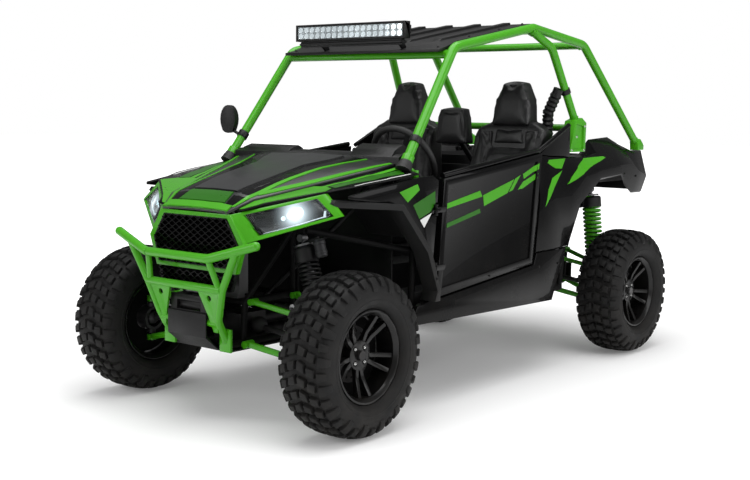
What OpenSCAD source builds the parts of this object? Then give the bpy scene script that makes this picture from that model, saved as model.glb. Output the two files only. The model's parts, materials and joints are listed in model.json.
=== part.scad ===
// Two-seat off-road buggy: tube frame with a bolted cage, hinged doors,
// steered front wheels and four driven wheels on double wishbones.
// Front is -Y, the driver's side is +X, the ground is z = 0. Sizes in millimetres.

/* [Wheels] */
// Distance between the two axles
wheelbase = 2355; // [2345:1:2365]
// Distance between the wheel centres of one axle
track = 1300; // [1292:1:1306]
// Outside diameter of a tyre over its lugs
tyre_d = 686; // [676:1:692]
// Width of a tyre
tyre_w = 250; // [240:1:256]
// Diameter over the rim lips
rim_d = 388; // [384:1:392]
// Width of the rim between its lips
rim_w = 196; // [190:1:200]
// Spokes of one rim, set in pairs
spokes = 10; // [6:2:14]
// Lugs on each half of a tyre's tread
lugs = 17; // [13:1:18]
// Height of the lugs above the tread's floor
lug_h = 18; // [12:1:22]

/* [Tubes] */
// Radius of the main cage tubes
cage_r = 19; // [17:0.5:20]
// Radius of the frame tubes
frame_r = 17; // [15:0.5:18]
// Radius of the wishbone tubes
arm_r = 14; // [12:0.5:15]
// Bend radius on the middle line of a tube
bend_r = 90; // [70:1:110]

/* [Body] */
// Thickness of the moulded body panels
skin = 10; // [8:0.5:11]
// Thickness of a door
door_t = 36; // [30:1:38]
// Width of the raised border round a door
door_border = 34; // [26:1:40]
// Width of a seat
seat_w = 440; // [420:1:450]
// Radius of the steering wheel at the middle of its rim
wheel_r = 165; // [155:1:172]

/* [Suspension] */
// Mean radius of a spring coil
coil_r = 38; // [36:0.5:40]
// Radius of the spring wire
wire_r = 6; // [5:0.25:6.5]
// Turns of a spring
coil_turns = 7; // [5:1:8]

/* [Hidden] */
$fn = 48;
fit = 0.3;
axle_z = tyre_d / 2;
front_y = -1160;
// Everything behind the driver's knees is placed from the rear axle
rear_y = front_y + wheelbase;
wheel_x = track / 2;
king_x = wheel_x - 50;
lower_joint_z = axle_z - 93;
upper_joint_z = axle_z + 93;
lower_pivot_z = 345;
upper_pivot_z = 525;
rail_x = 170;
upper_rail_x = 185;
upper_rail_r = frame_r - 2;
arm_spread = 150;
eye_r = 16;
pivot_x = rail_x + frame_r + eye_r + fit;
upper_pivot_x = upper_rail_x + upper_rail_r + eye_r - 2 + fit;
side_rail_x = 560;
side_rail_z = 410;
floor_z = side_rail_z + frame_r + fit;
rack_z = 470;
rack_y = front_y + 140 - upper_rail_r - 24 - fit;
steer_reach = rack_y - front_y;
steer_pin_z = axle_z + 46;
green = [0.36, 0.78, 0.13];
black = [0.05, 0.05, 0.055];
char = [0.14, 0.14, 0.15];
steel = [0.55, 0.56, 0.58];

function unit(v) = v / norm(v);
function angle_between(a, b) = acos(max(-1, min(1, (a * b) / (norm(a) * norm(b)))));
function mix(a, b, t) = a + (b - a) * t;

// The same part on the driver's side and mirrored on the other side
module both() {
  children();
  mirror([1, 0, 0]) children();
}

module along(a, b) {
  d = b - a;
  translate(a) rotate([0, acos(d[2] / norm(d)), atan2(d[1], d[0])]) children();
}

module rod(a, b, r) {
  along(a, b) cylinder(r = r, h = norm(b - a));
}

// Points of the rounded corner of a bent tube
function corner_arc(a, b, c, bend, steps) =
  let (u = unit(b - a), v = unit(c - b), t = angle_between(u, v), cut = bend * tan(t / 2),
       s = b - u * cut, w = unit(v - (v * u) * u), o = s + bend * w)
  [for (k = [0:steps]) o - bend * cos(t * k / steps) * w + bend * sin(t * k / steps) * u];

module bent_tube(p, r, bend, steps = 3) {
  n = len(p);
  line = [for (i = [0:n-1]) each (i == 0 || i == n - 1) ? [p[i]]
    : corner_arc(p[i-1], p[i], p[i+1], bend, steps)];
  for (i = [0:len(line)-2]) rod(line[i], line[i+1], r);
  for (i = [1:len(line)-2]) translate(line[i]) sphere(r = r + 0.15);
}

// A plate whose outline is given in y and z, from x0 to x1
module plate_yz(pts, x0, x1) {
  translate([x0, 0, 0]) rotate([90, 0, 90]) linear_extrude(x1 - x0) polygon(pts);
}

// A plate whose outline is given in x and z, from y0 to y1
module plate_xz(pts, y0, y1) {
  translate([0, y1, 0]) rotate([90, 0, 0]) linear_extrude(y1 - y0) polygon(pts);
}

module box(a, b) {
  translate(a) cube(b - a);
}

function turned(faces, yes) = yes ? [for (f = faces) [f[2], f[1], f[0]]] : faces;

// A moulded sheet: a grid of outer points, thickened by the vector d
module sheet(grid, d) {
  m = len(grid);
  n = len(grid[0]);
  top = [for (row = grid) each row];
  k = m * n;
  cells = [for (i = [0:m-2], j = [0:n-2])
    each [[i*n+j, i*n+j+1, (i+1)*n+j+1], [i*n+j, (i+1)*n+j+1, (i+1)*n+j]]];
  loop = concat([for (j = [0:n-2]) j], [for (i = [0:m-2]) i*n+n-1],
    [for (j = [n-1:-1:1]) (m-1)*n+j], [for (i = [m-1:-1:1]) i*n]);
  q = len(loop);
  rim = [for (i = [0:q-1]) let (u = loop[i], v = loop[(i+1) % q])
    each [[v, u, u + k], [v, u + k, v + k]]];
  faces = concat(cells, [for (f = cells) [f[2] + k, f[1] + k, f[0] + k]], rim);
  side = cross(top[1] - top[0], top[n+1] - top[0]) * d;
  polyhedron(concat(top, [for (p = top) p + d]), turned(faces, side < 0));
}

// A frame between two loops of points, thickened by the vector d
module loop_frame(outer, inner, d) {
  n = len(outer);
  k = 2 * n;
  cells = [for (j = [0:n-1]) let (h = (j + 1) % n)
    each [[j, h, n + h], [j, n + h, n + j]]];
  rim = [for (j = [0:n-1]) let (h = (j + 1) % n)
    each [[h, j, j + k], [h, j + k, h + k], [n + j, n + h, n + h + k], [n + j, n + h + k, n + j + k]]];
  faces = concat(cells, [for (f = cells) [f[2] + k, f[1] + k, f[0] + k]], rim);
  top = concat(outer, inner);
  side = cross(top[1] - top[0], top[n+1] - top[0]) * d;
  polyhedron(concat(top, [for (p = top) p + d]), turned(faces, side < 0));
}

// A plate over a loop of points, thickened by the vector d
module slab(loop, d) {
  n = len(loop);
  cells = [for (i = [1:n-2]) [0, i, i + 1]];
  rim = [for (i = [0:n-1]) let (v = (i + 1) % n) each [[v, i, i + n], [v, i + n, v + n]]];
  faces = concat(cells, [for (f = cells) [f[2] + n, f[1] + n, f[0] + n]], rim);
  side = cross(loop[1] - loop[0], loop[2] - loop[0]) * d;
  polyhedron(concat(loop, [for (p = loop) p + d]), turned(faces, side < 0));
}

// A loop drawn in towards its middle by a share of the distance
function drawn_in(loop, share) =
  let (c = [for (i = [0:len(loop[0])-1]) [for (p = loop) p[i]] * [for (p = loop) 1] / len(loop)])
  [for (p = loop) mix(p, c, share)];

// A flat outline drawn in by an even distance, its points listed anticlockwise
function inset(p, w) = let (n = len(p)) [for (i = [0:n-1])
  let (a = unit(p[i] - p[(i + n - 1) % n]), b = unit(p[(i + 1) % n] - p[i]),
       na = [-a[1], a[0]], nb = [-b[1], b[0]])
  p[i] + (na + nb) * w / (1 + na * nb)];

// Points of the cage, on the middle lines of its tubes
a_foot = [549, -679, 1112];
a_top = [510, -281, 1630];
rail_high = [505, rear_y - 783, 1758];
stay_bend = [508, rear_y - 267, 1698];
stay_foot = [576.6, rear_y + 264.3, 1150];
b_top = [505, rear_y - 795, 1744];
b_bend = [530, rear_y - 633, 1664];
b_foot = [565, rear_y - 432, 1284];
front_cross = [mix(a_foot[0], a_top[0], 0.935), -307, 1597];
mirror_at = mix(a_foot, a_top, 0.178);

// Places of the frame's cross tubes and uprights
bay_front = -650;
bay_back = rear_y - 545;
front_bulkheads = [front_y - 150, front_y + 140];
rear_bulkheads = [rear_y - 170, rear_y + 170];
brace_r = upper_rail_r - 3;
front_top = [king_x - 205, front_y, 833];
rear_top = [king_x - 150, rear_y, 932.7];
leg_low = [side_rail_x, bay_front, side_rail_z];
leg_top = [578, bay_front, 1040];
rear_leg_low = [side_rail_x, bay_back, side_rail_z];
rear_leg_top = [574, bay_back + 50, 1060];
rail_ends = [front_y - 245, rear_y + 210];

// Floor ladder between the two bays, with the legs of the door openings
module frame_floor() color(green) {
  both() {
    rod([rail_x, bay_front - 30, lower_pivot_z], [rail_x, bay_back + 30, lower_pivot_z], frame_r);
    rod(leg_low, rear_leg_low, frame_r);
    for (y = [bay_front, mix(bay_front, bay_back, 0.5), bay_back])
      rod([rail_x, y, lower_pivot_z], [side_rail_x, y, side_rail_z], frame_r - 2);
    for (p = [leg_low, rear_leg_low]) translate(p) sphere(r = frame_r + 0.15);
    rod(leg_low, leg_top, frame_r - 1);
    rod(rear_leg_low, rear_leg_top, frame_r - 1);
  }
  for (y = [bay_front, mix(bay_front, bay_back, 0.5), bay_back])
    rod([-rail_x, y, lower_pivot_z], [rail_x, y, lower_pivot_z], frame_r - 2);
}

// Bulkheads that carry the wishbones of one axle: their places, and the top tube's end
module bulkheads(places, top) {
  both() {
    rod([upper_rail_x, places[0], upper_pivot_z], [upper_rail_x, places[1], upper_pivot_z], upper_rail_r);
    for (y = places) {
      rod([rail_x, y, lower_pivot_z], [upper_rail_x, y, upper_pivot_z], upper_rail_r - 1);
      translate([upper_rail_x, y, upper_pivot_z]) sphere(r = upper_rail_r + 0.15);
      rod([upper_rail_x, y, upper_pivot_z], top - [75, 0, 0], brace_r);
    }
  }
  rod([-top[0], top[1], top[2]], top, frame_r);
}

module frame_front() color(green) {
  bulkheads(front_bulkheads, front_top);
  both() {
    rod([rail_x, rail_ends[0], lower_pivot_z], [rail_x, bay_front - 30 - fit, lower_pivot_z], frame_r);
    on_leg = mix(leg_low, leg_top, 0.49);
    rod(front_top - [3, 0, 0], on_leg + unit(front_top - on_leg) * (frame_r + 3), frame_r - 3);
  }
  for (y = front_bulkheads)
    rod([-upper_rail_x, y, upper_pivot_z], [upper_rail_x, y, upper_pivot_z], upper_rail_r - 2);
  rod([-180, front_bulkheads[1], rack_z], [180, front_bulkheads[1], rack_z], upper_rail_r);
  rod([-rail_x, rail_ends[0] + 25, lower_pivot_z], [rail_x, rail_ends[0] + 25, lower_pivot_z], frame_r - 2);
}

module frame_rear() color(green) {
  bulkheads(rear_bulkheads, rear_top);
  both() {
    rod([rail_x, bay_back + 30 + fit, lower_pivot_z], [rail_x, rail_ends[1], lower_pivot_z], frame_r);
    on_leg = mix(rear_leg_low, rear_leg_top, 0.74);
    rod(rear_top - [80, 0, 0], on_leg + unit(rear_top - [80, 0, 0] - on_leg) * (frame_r + 3), frame_r - 3);
  }
  rod([-rail_x, rail_ends[1] - 25, lower_pivot_z], [rail_x, rail_ends[1] - 25, lower_pivot_z], frame_r - 2);
}

module skid_plate() color(char) {
  low = lower_pivot_z - frame_r - fit;
  front = rail_ends[0];
  plate_yz([[front + 5, low], [front + 5, low - 8], [rear_y + 155, low - 8], [rear_y + 155, low]], -190, 190);
  // turned up behind the bumper, then a guard in front of its low bar
  plate_yz([[front + 6, low - 8], [front + 6, low], [front - 61, low + 60], [front - 61, 482],
    [front - 69, 482], [front - 69, low + 54]], -118, 118);
}

module tub() color(char) {
  wall = 10;
  front = bay_front - 62;
  back = bay_back;
  seat_front = rear_y - 1075;
  difference() {
    union() {
      box([-540, front, floor_z], [540, back, floor_z + wall]);
      box([-500, front, floor_z], [500, front + wall, 1079]);
      box([-540, back - wall, floor_z], [540, back, 1040]);
      for (s = [-1, 1]) box([s * 535 - 5, front, floor_z], [s * 535 + 5, back, 520]);
      box([-540, seat_front, floor_z], [540, seat_front + wall, 625]);
      box([-540, seat_front, 615], [540, back, 625]);
      box([-90, front, floor_z], [90, seat_front + wall, 570]);
    }
    box([-80, front + 12, floor_z - 1], [80, seat_front, 560]);
    translate([350, front - 8, 954]) rotate([-90, 0, 0]) cylinder(r = 40, h = 40);
  }
}

module cage() color(green) {
  both() {
    bent_tube([a_foot, a_top, rail_high, stay_bend, stay_foot], cage_r, bend_r, 4);
    bent_tube([b_top, b_bend, b_foot], cage_r - 1, bend_r, 3);
  }
  rod([-front_cross[0], front_cross[1], front_cross[2]], front_cross, cage_r - 2);
  rod([-rail_high[0], rail_high[1], 1745], [rail_high[0], rail_high[1], 1745], cage_r - 3);
  rod([-stay_bend[0], stay_bend[1] - 8, stay_bend[2] - 4],
      [stay_bend[0], stay_bend[1] - 8, stay_bend[2] - 4], cage_r - 2);
  // bar behind the seats, between the brackets of the second pillars
  translate([0, rear_y - 455, 1252]) rod([-540 + fit, 0, 0], [540 - fit, 0, 0], cage_r - 3);
}

// Ribbed hose of the air intake, from behind the driver's seat up to the second pillar
module intake_hose() color(black) translate([0, rear_y, 0]) {
  elbow = [486, -580, 1330];
  mouth = [546, -580, 1455];
  ribs = 9;
  step = 24;
  pillar = mix(b_foot, b_bend, 0.42) - [0, rear_y, 0];
  pillar_dir = unit(b_bend - b_foot);
  difference() {
    union() {
      translate([0, 0, 1066]) translate([elbow[0], elbow[1], 0]) rotate_extrude()
        polygon(concat([[0, 0]], [for (i = [0:ribs+1]) each [[26, i * step], [31, (i + 0.5) * step]]], [[0, (ribs + 2) * step]]));
      along(elbow, mouth) rotate_extrude()
        polygon(concat([[0, -10]], [for (i = [0:4]) each [[26, i * step - 10], [31, (i + 0.5) * step - 10]]],
          [[26, 112], [26, norm(mouth - elbow)], [0, norm(mouth - elbow)]]));
      // clamp on the pillar
      along(pillar - pillar_dir * 13, pillar + pillar_dir * 13) cylinder(r = cage_r + 7, h = 26);
      box([530, -580, pillar[2] - 8], [552, pillar[1] - 20, pillar[2] + 8]);
    }
    rod(pillar - pillar_dir * 60, pillar + pillar_dir * 60, cage_r - 1 + fit);
  }
}

// Pad between the two seat backs on its own stalk from the back wall of the tub
module centre_pad() color(black) translate([0, rear_y, 0]) {
  plate_xz([[-98, 1164], [98, 1164], [84, 1300], [66, 1342], [-66, 1342], [-84, 1300]], -775, -705);
  rod([0, -550, 1040 + 2 * fit + 8], [0, -715, 1200], 14);
  box([-30, -555, 1040 + fit], [30, -545 - fit, 1056]);
}

// Hinge line of the doors: a straight pin at the outer front edge
hinge_x = 648;
hinge_y = -588;
hinge_z = [640, 900];
hinge_len = 50;

module pillar_brackets() color(green) both() {
  // foot of the front pillar
  difference() {
    translate(a_foot) along([0, 0, 0], a_top - a_foot) translate([0, 0, -22])
      cylinder(r = cage_r + 9, h = 52);
    rod(a_foot, mix(a_foot, a_top, 0.3), cage_r + fit);
  }
  // stalk from that foot to the leg of the frame
  translate([leg_top[0], leg_top[1], leg_top[2] + 3 * fit]) cylinder(r = 14, h = 34);
  rod(leg_top + [-2, -3, 24], a_foot + [3, -8, -14], 9);
  // bracket round the foot of the second pillar
  translate([0, rear_y, 0]) difference() {
    plate_yz([[-550, 1127], [-389, 1127], [-383, 1279], [-430, 1306], [-495, 1289]], 540, 606);
    plate_yz([[-528, 1140], [-408, 1140], [-404, 1262], [-480, 1274]], 594, 610);
    rod(b_foot - [0, rear_y, 0], mix(b_foot, b_bend, 0.5) - [0, rear_y, 0], cage_r - 1 + fit);
  }
  // foot of the rear stay
  difference() {
    translate([0, rear_y, 0]) plate_yz([[233, 1122.4], [305, 1122.4], [305, 1150], [259, 1186], [227, 1164]], 552, 602);
    rod(mix(stay_foot, stay_bend, -0.015), mix(stay_foot, stay_bend, 0.3), cage_r + fit);
  }
}

// Door hinges: two pins a side, each held above and below the door's eye
module door_hinges() color(black) both()
  for (z = hinge_z) {
    translate([hinge_x, hinge_y, z - hinge_len / 2]) cylinder(r = 5, h = hinge_len);
    for (s = [-1, 1]) {
      translate([hinge_x, hinge_y, z + s * 21 - 4]) cylinder(r = 9, h = 8);
      box([588, hinge_y - 7, z + s * 21 - 4], [hinge_x, hinge_y + 7, z + s * 21 + 4]);
    }
    box([586, hinge_y - 8, z - 25], [594, hinge_y + 8, z + 25]);
    leg = mix(leg_low, leg_top, (z - side_rail_z) / (leg_top[2] - side_rail_z));
    rod([590, hinge_y, z], leg + unit([590, hinge_y, z] - leg) * (frame_r - 1 + fit), 7);
  }

module roof() color(black) {
  back = rail_high[1];
  // outline of the middle: y, z of the underside, then the top
  plate_yz([[-366, 1605], [-300, 1616], [-215, 1645], [back, 1762], [back + 28, 1765],
    [back + 28, 1781], [back, 1780], [-215, 1664], [-300, 1634], [-366, 1618]], -482, 482);
  for (x = [-360, -180, 0, 180, 360])
    plate_yz([[-240, 1650], [back - 12, 1770], [back - 22, 1788], [-200, 1678]], x - 22, x + 22);
}

module light_bar() color(black) {
  difference() {
    box([-342, -438, 1668], [342, -396, 1748]);
    box([-328, -440, 1678], [328, -428, 1738]);
  }
  both() {
    plate_yz([[-398, 1676], [-330, 1627.1], [-300, 1634.4], [-312, 1652], [-398, 1720]], 238, 248);
    box([322, -405, 1690], [350, -398, 1730]);
  }
}

// Points of an oval by its half width and half height
function oval(w, h) = [for (i = [0:19]) [w * cos(18 * i), h * sin(18 * i)]];

// A clamp on each front pillar, and one mirror head on the passenger's side
module mirrors() color(black) {
  clamp_dir = unit(a_top - a_foot);
  both() difference() {
    along(mirror_at - clamp_dir * 16, mirror_at + clamp_dir * 16) cylinder(r = cage_r + 8, h = 32);
    rod(mirror_at - clamp_dir * 40, mirror_at + clamp_dir * 40, cage_r + fit);
  }
  rod([-mirror_at[0] - cage_r - 4, mirror_at[1], mirror_at[2]], [-610, -624, 1232], 8);
  translate([-617, -629, 1282]) rotate([0, 0, 14]) difference() {
    plate_xz(oval(50, 70), -18, 18);
    plate_xz(oval(44, 64), 12, 24);
  }
}

// Bonnet rows: y, half width, height of the edge, height of the middle
hood_rows = [[-1428, 200, 914, 920], [-1327, 256, 966, 984], [-1172, 315, 1000, 1030],
  [-1000, 380, 1036, 1070], [-850, 437, 1068, 1102], [-694, 496, 1102, 1134]];

module hood() color(char)
  sheet([for (r = hood_rows)
    [[-r[1], r[0], r[2]], [-r[1] * 0.62, r[0], mix(r[2], r[3], 0.8)], [0, r[0], r[3]],
     [r[1] * 0.62, r[0], mix(r[2], r[3], 0.8)], [r[1], r[0], r[2]]]], [0, 0, -skin]);

// Top of the front wing: x and z of its outer crease at each bonnet row
wing_rows = [[236, 917], [320, 951], [524, 1004], [596, 1030], [622, 1048], [630, 1066]];
// The first row of the wing starts behind the nose
function wing_row(i) = let (r = hood_rows[i], w = wing_rows[i])
  [[r[1] - 22, r[0], r[2] - skin - 0.7], [r[1] + 8, r[0], r[2] - skin - 0.7], [w[0], r[0], w[1]]];

module front_fenders() color(char) both() {
  last = len(hood_rows) - 1;
  sheet(concat([mix(wing_row(0), wing_row(1), 0.34)], [for (i = [1:last]) wing_row(i)]), [0, 0, -skin + 2]);
  plate_yz([[-1150, 974], [-873, 944], [-674, 739], [-599, 559], [-594.6, 559], [-592, 600],
    [-612, 610], [-612, 670], [-592, 680], [-570, 870], [-612, 872], [-612, 930], [-566, 932],
    [-558, 1030], [-600, 1052], [-700, 1048], [-850, 1031], [-1000, 1013], [-1150, 988]], 612, 640);
  // tab on the leg of the frame
  box([593.3, bay_front - 10, 985], [613, bay_front + 10, 1000]);
}

module front_flares() color(char) both() {
  plate_yz([[-1190, 955], [-1176, 970], [-873.2, 943.6], [-674.35, 738.7], [-598, 548], [-603, 500],
    [-640, 500], [-622, 545], [-698, 722], [-884, 918], [-1180, 940]], 606, 690);
  plate_yz([[-1140, 966], [-873, 942], [-740, 800], [-752, 788], [-884, 922], [-1140, 948]], 405, 620);
}

nose_a = [206, -1420, 902];
nose_b = [518, -1180, 994];
nose_c = [616, -1188, 908];
nose_d = [284, -1404, 788];
nose_loop = [nose_a, nose_b, nose_c, nose_d];
lamp_loop = [mix(nose_a, nose_c, 0.12), mix(nose_b, nose_d, 0.1), mix(nose_c, nose_a, 0.07), mix(nose_d, nose_b, 0.15)];
grille_loop = [[-262, 780], [-232, 676], [232, 676], [262, 780], [194, 886], [-194, 886]];

module nose() color(green) {
  both() loop_frame(nose_loop, lamp_loop, [0, 16, 0]);
  difference() {
    plate_xz([[-290, 786], [-246, 658], [246, 658], [290, 786], [214, 903], [-214, 903]], -1424, -1400);
    plate_xz(grille_loop, -1430, -1390);
  }
}

module headlights() color([0.9, 0.93, 0.95]) both()
  slab([for (p = drawn_in(lamp_loop, 0.006)) p + [0, 4, 0]], [0, 10, 0]);

module grille() color(black) {
  difference() {
    plate_xz(inset(grille_loop, fit + 0.1), -1418, -1406);
    for (i = [-7:7], k = [0:6])
      translate([i * 34 + (k % 2) * 17, 0, 692 + k * 29]) rotate([90, 0, 0])
        translate([0, 0, 1400]) scale([1, 0.72, 1]) cylinder(r = 15, h = 25, $fn = 6);
  }
  difference() {
    plate_xz([[-214, 578], [214, 578], [240, 657.6], [-240, 657.6]], -1412, -1400);
    for (x = [-150:60:150]) plate_xz([[x - 24, 596], [x + 24, 596], [x + 24, 640], [x - 24, 640]], -1420, -1390);
  }
}

module radiator() color(steel) {
  low = upper_pivot_z + upper_rail_r - 2 + fit;
  y = front_y - 150;
  box([-160, y - 22, low], [160, y + 22, 870]);
  for (x = [-176, 160]) box([x, y - 26, low + 20], [x + 16, y + 26, 850]);
}

// Tilt of the bumper's legs and of the plates welded to them
leg_tilt = 10.7;
low_bar = [-1452, 444];
mid_bar = [-1488, 597];
eye_at = [150, -42];

module bumper() color(green) {
  difference() {
    union() {
      bent_tube([[-421, -1485, 794], [-192, -1528.8, 728], [192, -1528.8, 728], [421, -1485, 794]], 19, 80, 2);
      rod([-228, mid_bar[0], mid_bar[1]], [228, mid_bar[0], mid_bar[1]], 17);
      both() {
        translate([421, -1485, 794]) sphere(r = 19.15);
        bent_tube([[330, -1502, 768], [231, -1486, 597], [181, -1460, 460], [172, -1409, 368]], 16, 60, 2);
        rod([184, -1524, 727], [214, -1487, 598], 13);
        box([140, -1416, 322], [206, -1405.3, 420]);
        // gusset under the middle bar, with its eye
        translate([0, mid_bar[0], mid_bar[1]]) rotate([leg_tilt, 0, 0])
          plate_xz([[84, -6], [226, -6], [184, -128], [174, -190], [150, -190], [128, -116]], -5, 5);
      }
      rod([-180, low_bar[0], low_bar[1]], [180, low_bar[0], low_bar[1]], 14);
    }
    both() translate([0, mid_bar[0], mid_bar[1]]) rotate([leg_tilt, 0, 0])
      translate([eye_at[0], 0, eye_at[1]]) rotate([90, 0, 0]) cylinder(r = 13, h = 60, center = true);
  }
}

module winch() color(black) {
  low = low_bar[1] + 14 + fit;
  front = low_bar[0] - 10;
  box([-118, front + 16, low], [-70, front + 86, 548]);
  box([60, front + 16, low], [118, front + 86, 548]);
  translate([-70, front + 46, 508]) rotate([0, 90, 0]) cylinder(r = 34, h = 130);
  // fairlead: a frame with a long slot
  difference() {
    box([-112, front, low], [112, front + 16, 552]);
    box([-74, front - 2, 488], [74, front + 17, 528]);
  }
}

// Rear side panel rows, y from the rear axle: x, y and z of the top edge,
// then x, y, z of the shoulder, the crease and the lower edge
rear_rows = [
  [604, -869, 1122, 614, -869, 1114, 640, -889, 900, 640, -919, 640],
  [600, -745, 1114, 612, -745, 1104, 642, -745, 905, 642, -755, 640],
  [598, -595, 1108, 610, -595, 1098, 650, -583, 960, 645, -605, 650],
  [560, -475, 1108, 606, -475, 1098, 660, -467, 1002, 655, -505, 858],
  [545, -345, 1112, 604, -345, 1100, 662, -345, 1026, 660, -345, 955],
  [545, -251, 1188, 600, -251, 1116, 662, -275, 1036, 660, -301, 984],
  [545, -35, 1199, 596, -65, 1128, 658, -79, 1047, 655, -49, 1000],
  [545, 96, 1158, 592, 96, 1118, 650, 81, 1054, 630, 40, 940],
  [545, 205, 1118, 590, 205, 1112, 636, 190, 1008, 616, 150, 890],
  [545, 329, 1122, 572, 331, 1118, 606, 345, 972, 588, 320, 884]];
// Panel behind the door, up to the second pillar: y from the rear axle, z
quarter_loop = [[-849, 1121.4], [-596, 1258], [-550.4, 1264], [-550.4, 1108.6], [-595, 1108.4], [-745, 1114.4]];

module rear_panels() color(char) both() translate([0, rear_y, 0]) {
  sheet([for (r = rear_rows) [for (c = [0, 3, 6, 9]) [r[c], r[c + 1], r[c + 2]]]], [-skin + 1, 0, -skin + 1]);
  plate_yz(quarter_loop, 594, 606);
  rod([600, -862, 1136], [600, -558, 1268], 12);
}

module cargo_bed() color(black) translate([0, rear_y, 0]) {
  wall = 9;
  difference() {
    box([-535.5, -505, 950], [535.5, 315, 1088]);
    box([-535.5 + wall, -505 + wall, 950 + wall], [535.5 - wall, 315 - wall, 1100]);
  }
  for (x = [-400:100:400]) box([x - 14, -475, 958], [x + 14, 285, 966]);
}

lamp_w = 120;
lamp_z = [990, 1050];
lamp_x = 470;

module tail_panel() color(char) translate([0, rear_y, 0]) difference() {
  plate_xz([[-552, 890], [552, 890], [548, 1086], [-548, 1086]], 315.4, 331);
  for (s = [-1, 1]) box([s * lamp_x - lamp_w / 2, 300, lamp_z[0]], [s * lamp_x + lamp_w / 2, 345, lamp_z[1]]);
}

module tail_lamps() color([0.75, 0.05, 0.04]) translate([0, rear_y, 0])
  for (s = [-1, 1]) box([s * lamp_x - lamp_w / 2 + fit, 317, lamp_z[0] + fit],
    [s * lamp_x + lamp_w / 2 - fit, 337, lamp_z[1] - fit]);

// Tow plate on the last frame tube, with a hole for a ball
ball_hole_r = 9.75;

module hitch() color(black) translate([0, rear_y, 0]) difference() {
  union() {
    box([-46, 211, 392], [46, 307, 408]);
    translate([0, 307, 392]) cylinder(r = 46, h = 16);
    box([-200, 210.4, 330], [200, 222, 436]);
    for (x = [-46, 36]) plate_yz([[221, 340], [290, 393], [221, 393]], x, x + 10);
  }
  translate([0, 310, 380]) cylinder(r = ball_hole_r, h = 40);
}

module sills() color(black) both() {
  plate_yz([[-752, 398], [rear_y - 748, 373], [rear_y - 620, 632], [rear_y - 909, 630], [rear_y - 933, 572],
    [-569, 494], [-596, 497], [-604, 498], [-700, 480]], 606, 640);
  plate_yz([[-640, 402], [rear_y - 755, 402], [rear_y - 755, 418], [-640, 418]], side_rail_x + frame_r + fit, 607);
}

column_axis = [0, cos(30), sin(30)];
wheel_at = [350, -440, 1110];

module dash() color(black) {
  difference() {
    union() {
      plate_yz([[-701.6, 960], [-701.6, 1066], [-690, 1072], [-690, 1130], [-660, 1142], [-604, 1146],
        [-572, 1108], [-552, 1000], [-590, 940], [-640, 930]], -514, 514);
      plate_yz([[-690, 1128], [-660, 1160], [-600, 1184], [-572, 1170], [-560, 1080]], 230, 470);
      plate_yz([[-690, 1128], [-660, 1150], [-610, 1164], [-580, 1150], [-568, 1090]], -480, -160);
    }
    rod(wheel_at - column_axis * 20, wheel_at - column_axis * 420, 22.4);
  }
}

module steering_gear() color(steel) {
  // column through the dash, joint and lower shaft to the rack housing
  rod(wheel_at - column_axis * 8, wheel_at - column_axis * 60, 12);
  rod(wheel_at - column_axis * 50, wheel_at - column_axis * 330, 22);
  rod(wheel_at - column_axis * 320, wheel_at - column_axis * 372, 12);
  translate(wheel_at - column_axis * 372) sphere(r = 20);
  rod(wheel_at - column_axis * 372, [70, rack_y, rack_z + 48], 11);
  translate([70, rack_y, rack_z + 48]) sphere(r = 16);
  difference() {
    union() {
      translate([-122, rack_y, rack_z]) rotate([0, 90, 0]) cylinder(r = 24, h = 244);
      translate([70, rack_y, rack_z]) cylinder(r = 20, h = 48);
    }
    translate([-130, rack_y, rack_z]) rotate([0, 90, 0]) cylinder(r = 12 + fit, h = 260);
  }
}

module seat(x) color(black) translate([x, rear_y, 0]) {
  half = seat_w / 2;
  plate_yz([[-1135, 640], [-1143, 720], [-1105, 770], [-995, 752], [-795, 742], [-675, 800], [-675, 625.3], [-1075, 625.3]], -half, half);
  for (s = [-1, 1]) plate_yz([[-1125, 650], [-1129, 730], [-1085, 800], [-895, 790], [-775, 800], [-775, 640]],
    s * (half - 42) - 42, s * (half - 42) + 42);
  plate_yz([[-803, 780], [-755, 1050], [-733, 1250], [-709, 1286], [-623, 1276], [-620, 1180], [-635, 900],
    [-665, 740], [-775, 730]], 26 - half, half - 26);
  for (s = [-1, 1]) plate_yz([[-829, 840], [-791, 1060], [-755, 1210], [-715, 1250], [-655, 1240], [-650, 900], [-695, 800]],
    s * (half - 42) - 32, s * (half - 42) + 32);
  // shoulders and head rest in one piece, narrower towards the top
  plate_xz([[-168, 1262], [168, 1262], [124, 1330], [92, 1450], [66, 1482], [-66, 1482], [-92, 1450], [-124, 1330]],
    -712, -622);
}
module seat_left() seat(350);
module seat_right() seat(-350);

module engine() color(steel) translate([0, rear_y, 0]) {
  low = lower_pivot_z + frame_r + fit;
  box([-215, -523, low], [215, -225, 640]);
  box([-150, -495, 630], [150, -295, 780]);
}

module muffler() color(steel) translate([0, rear_y, 0]) {
  translate([-168, 150, 640]) rotate([0, 90, 0]) cylinder(r = 72, h = 336);
  rod([130, 150, 640], [130, 300, 660], 26);
  rod([-100, 150, 640], [-100, -219, 560], 24);
}

// Height of the half shafts at the differentials
diff_z = axle_z + 57;

module driveline() color(steel) {
  low = lower_pivot_z - frame_r;
  for (y = [front_y, rear_y]) {
    box([-80, y - 80, low], [80, y + 80, 450]);
    both() {
      rod([70, y, diff_z], [king_x, y, axle_z], 13);
      translate([king_x, y, axle_z]) sphere(r = 33);
      translate([118, y, diff_z - 5]) sphere(r = 40);
    }
  }
  rod([0, front_y + 70, 393], [0, rear_y - 523.4, 393], 20);
  rod([0, rear_y - 224.6, 393], [0, rear_y - 70, 393], 20);
}

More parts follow.
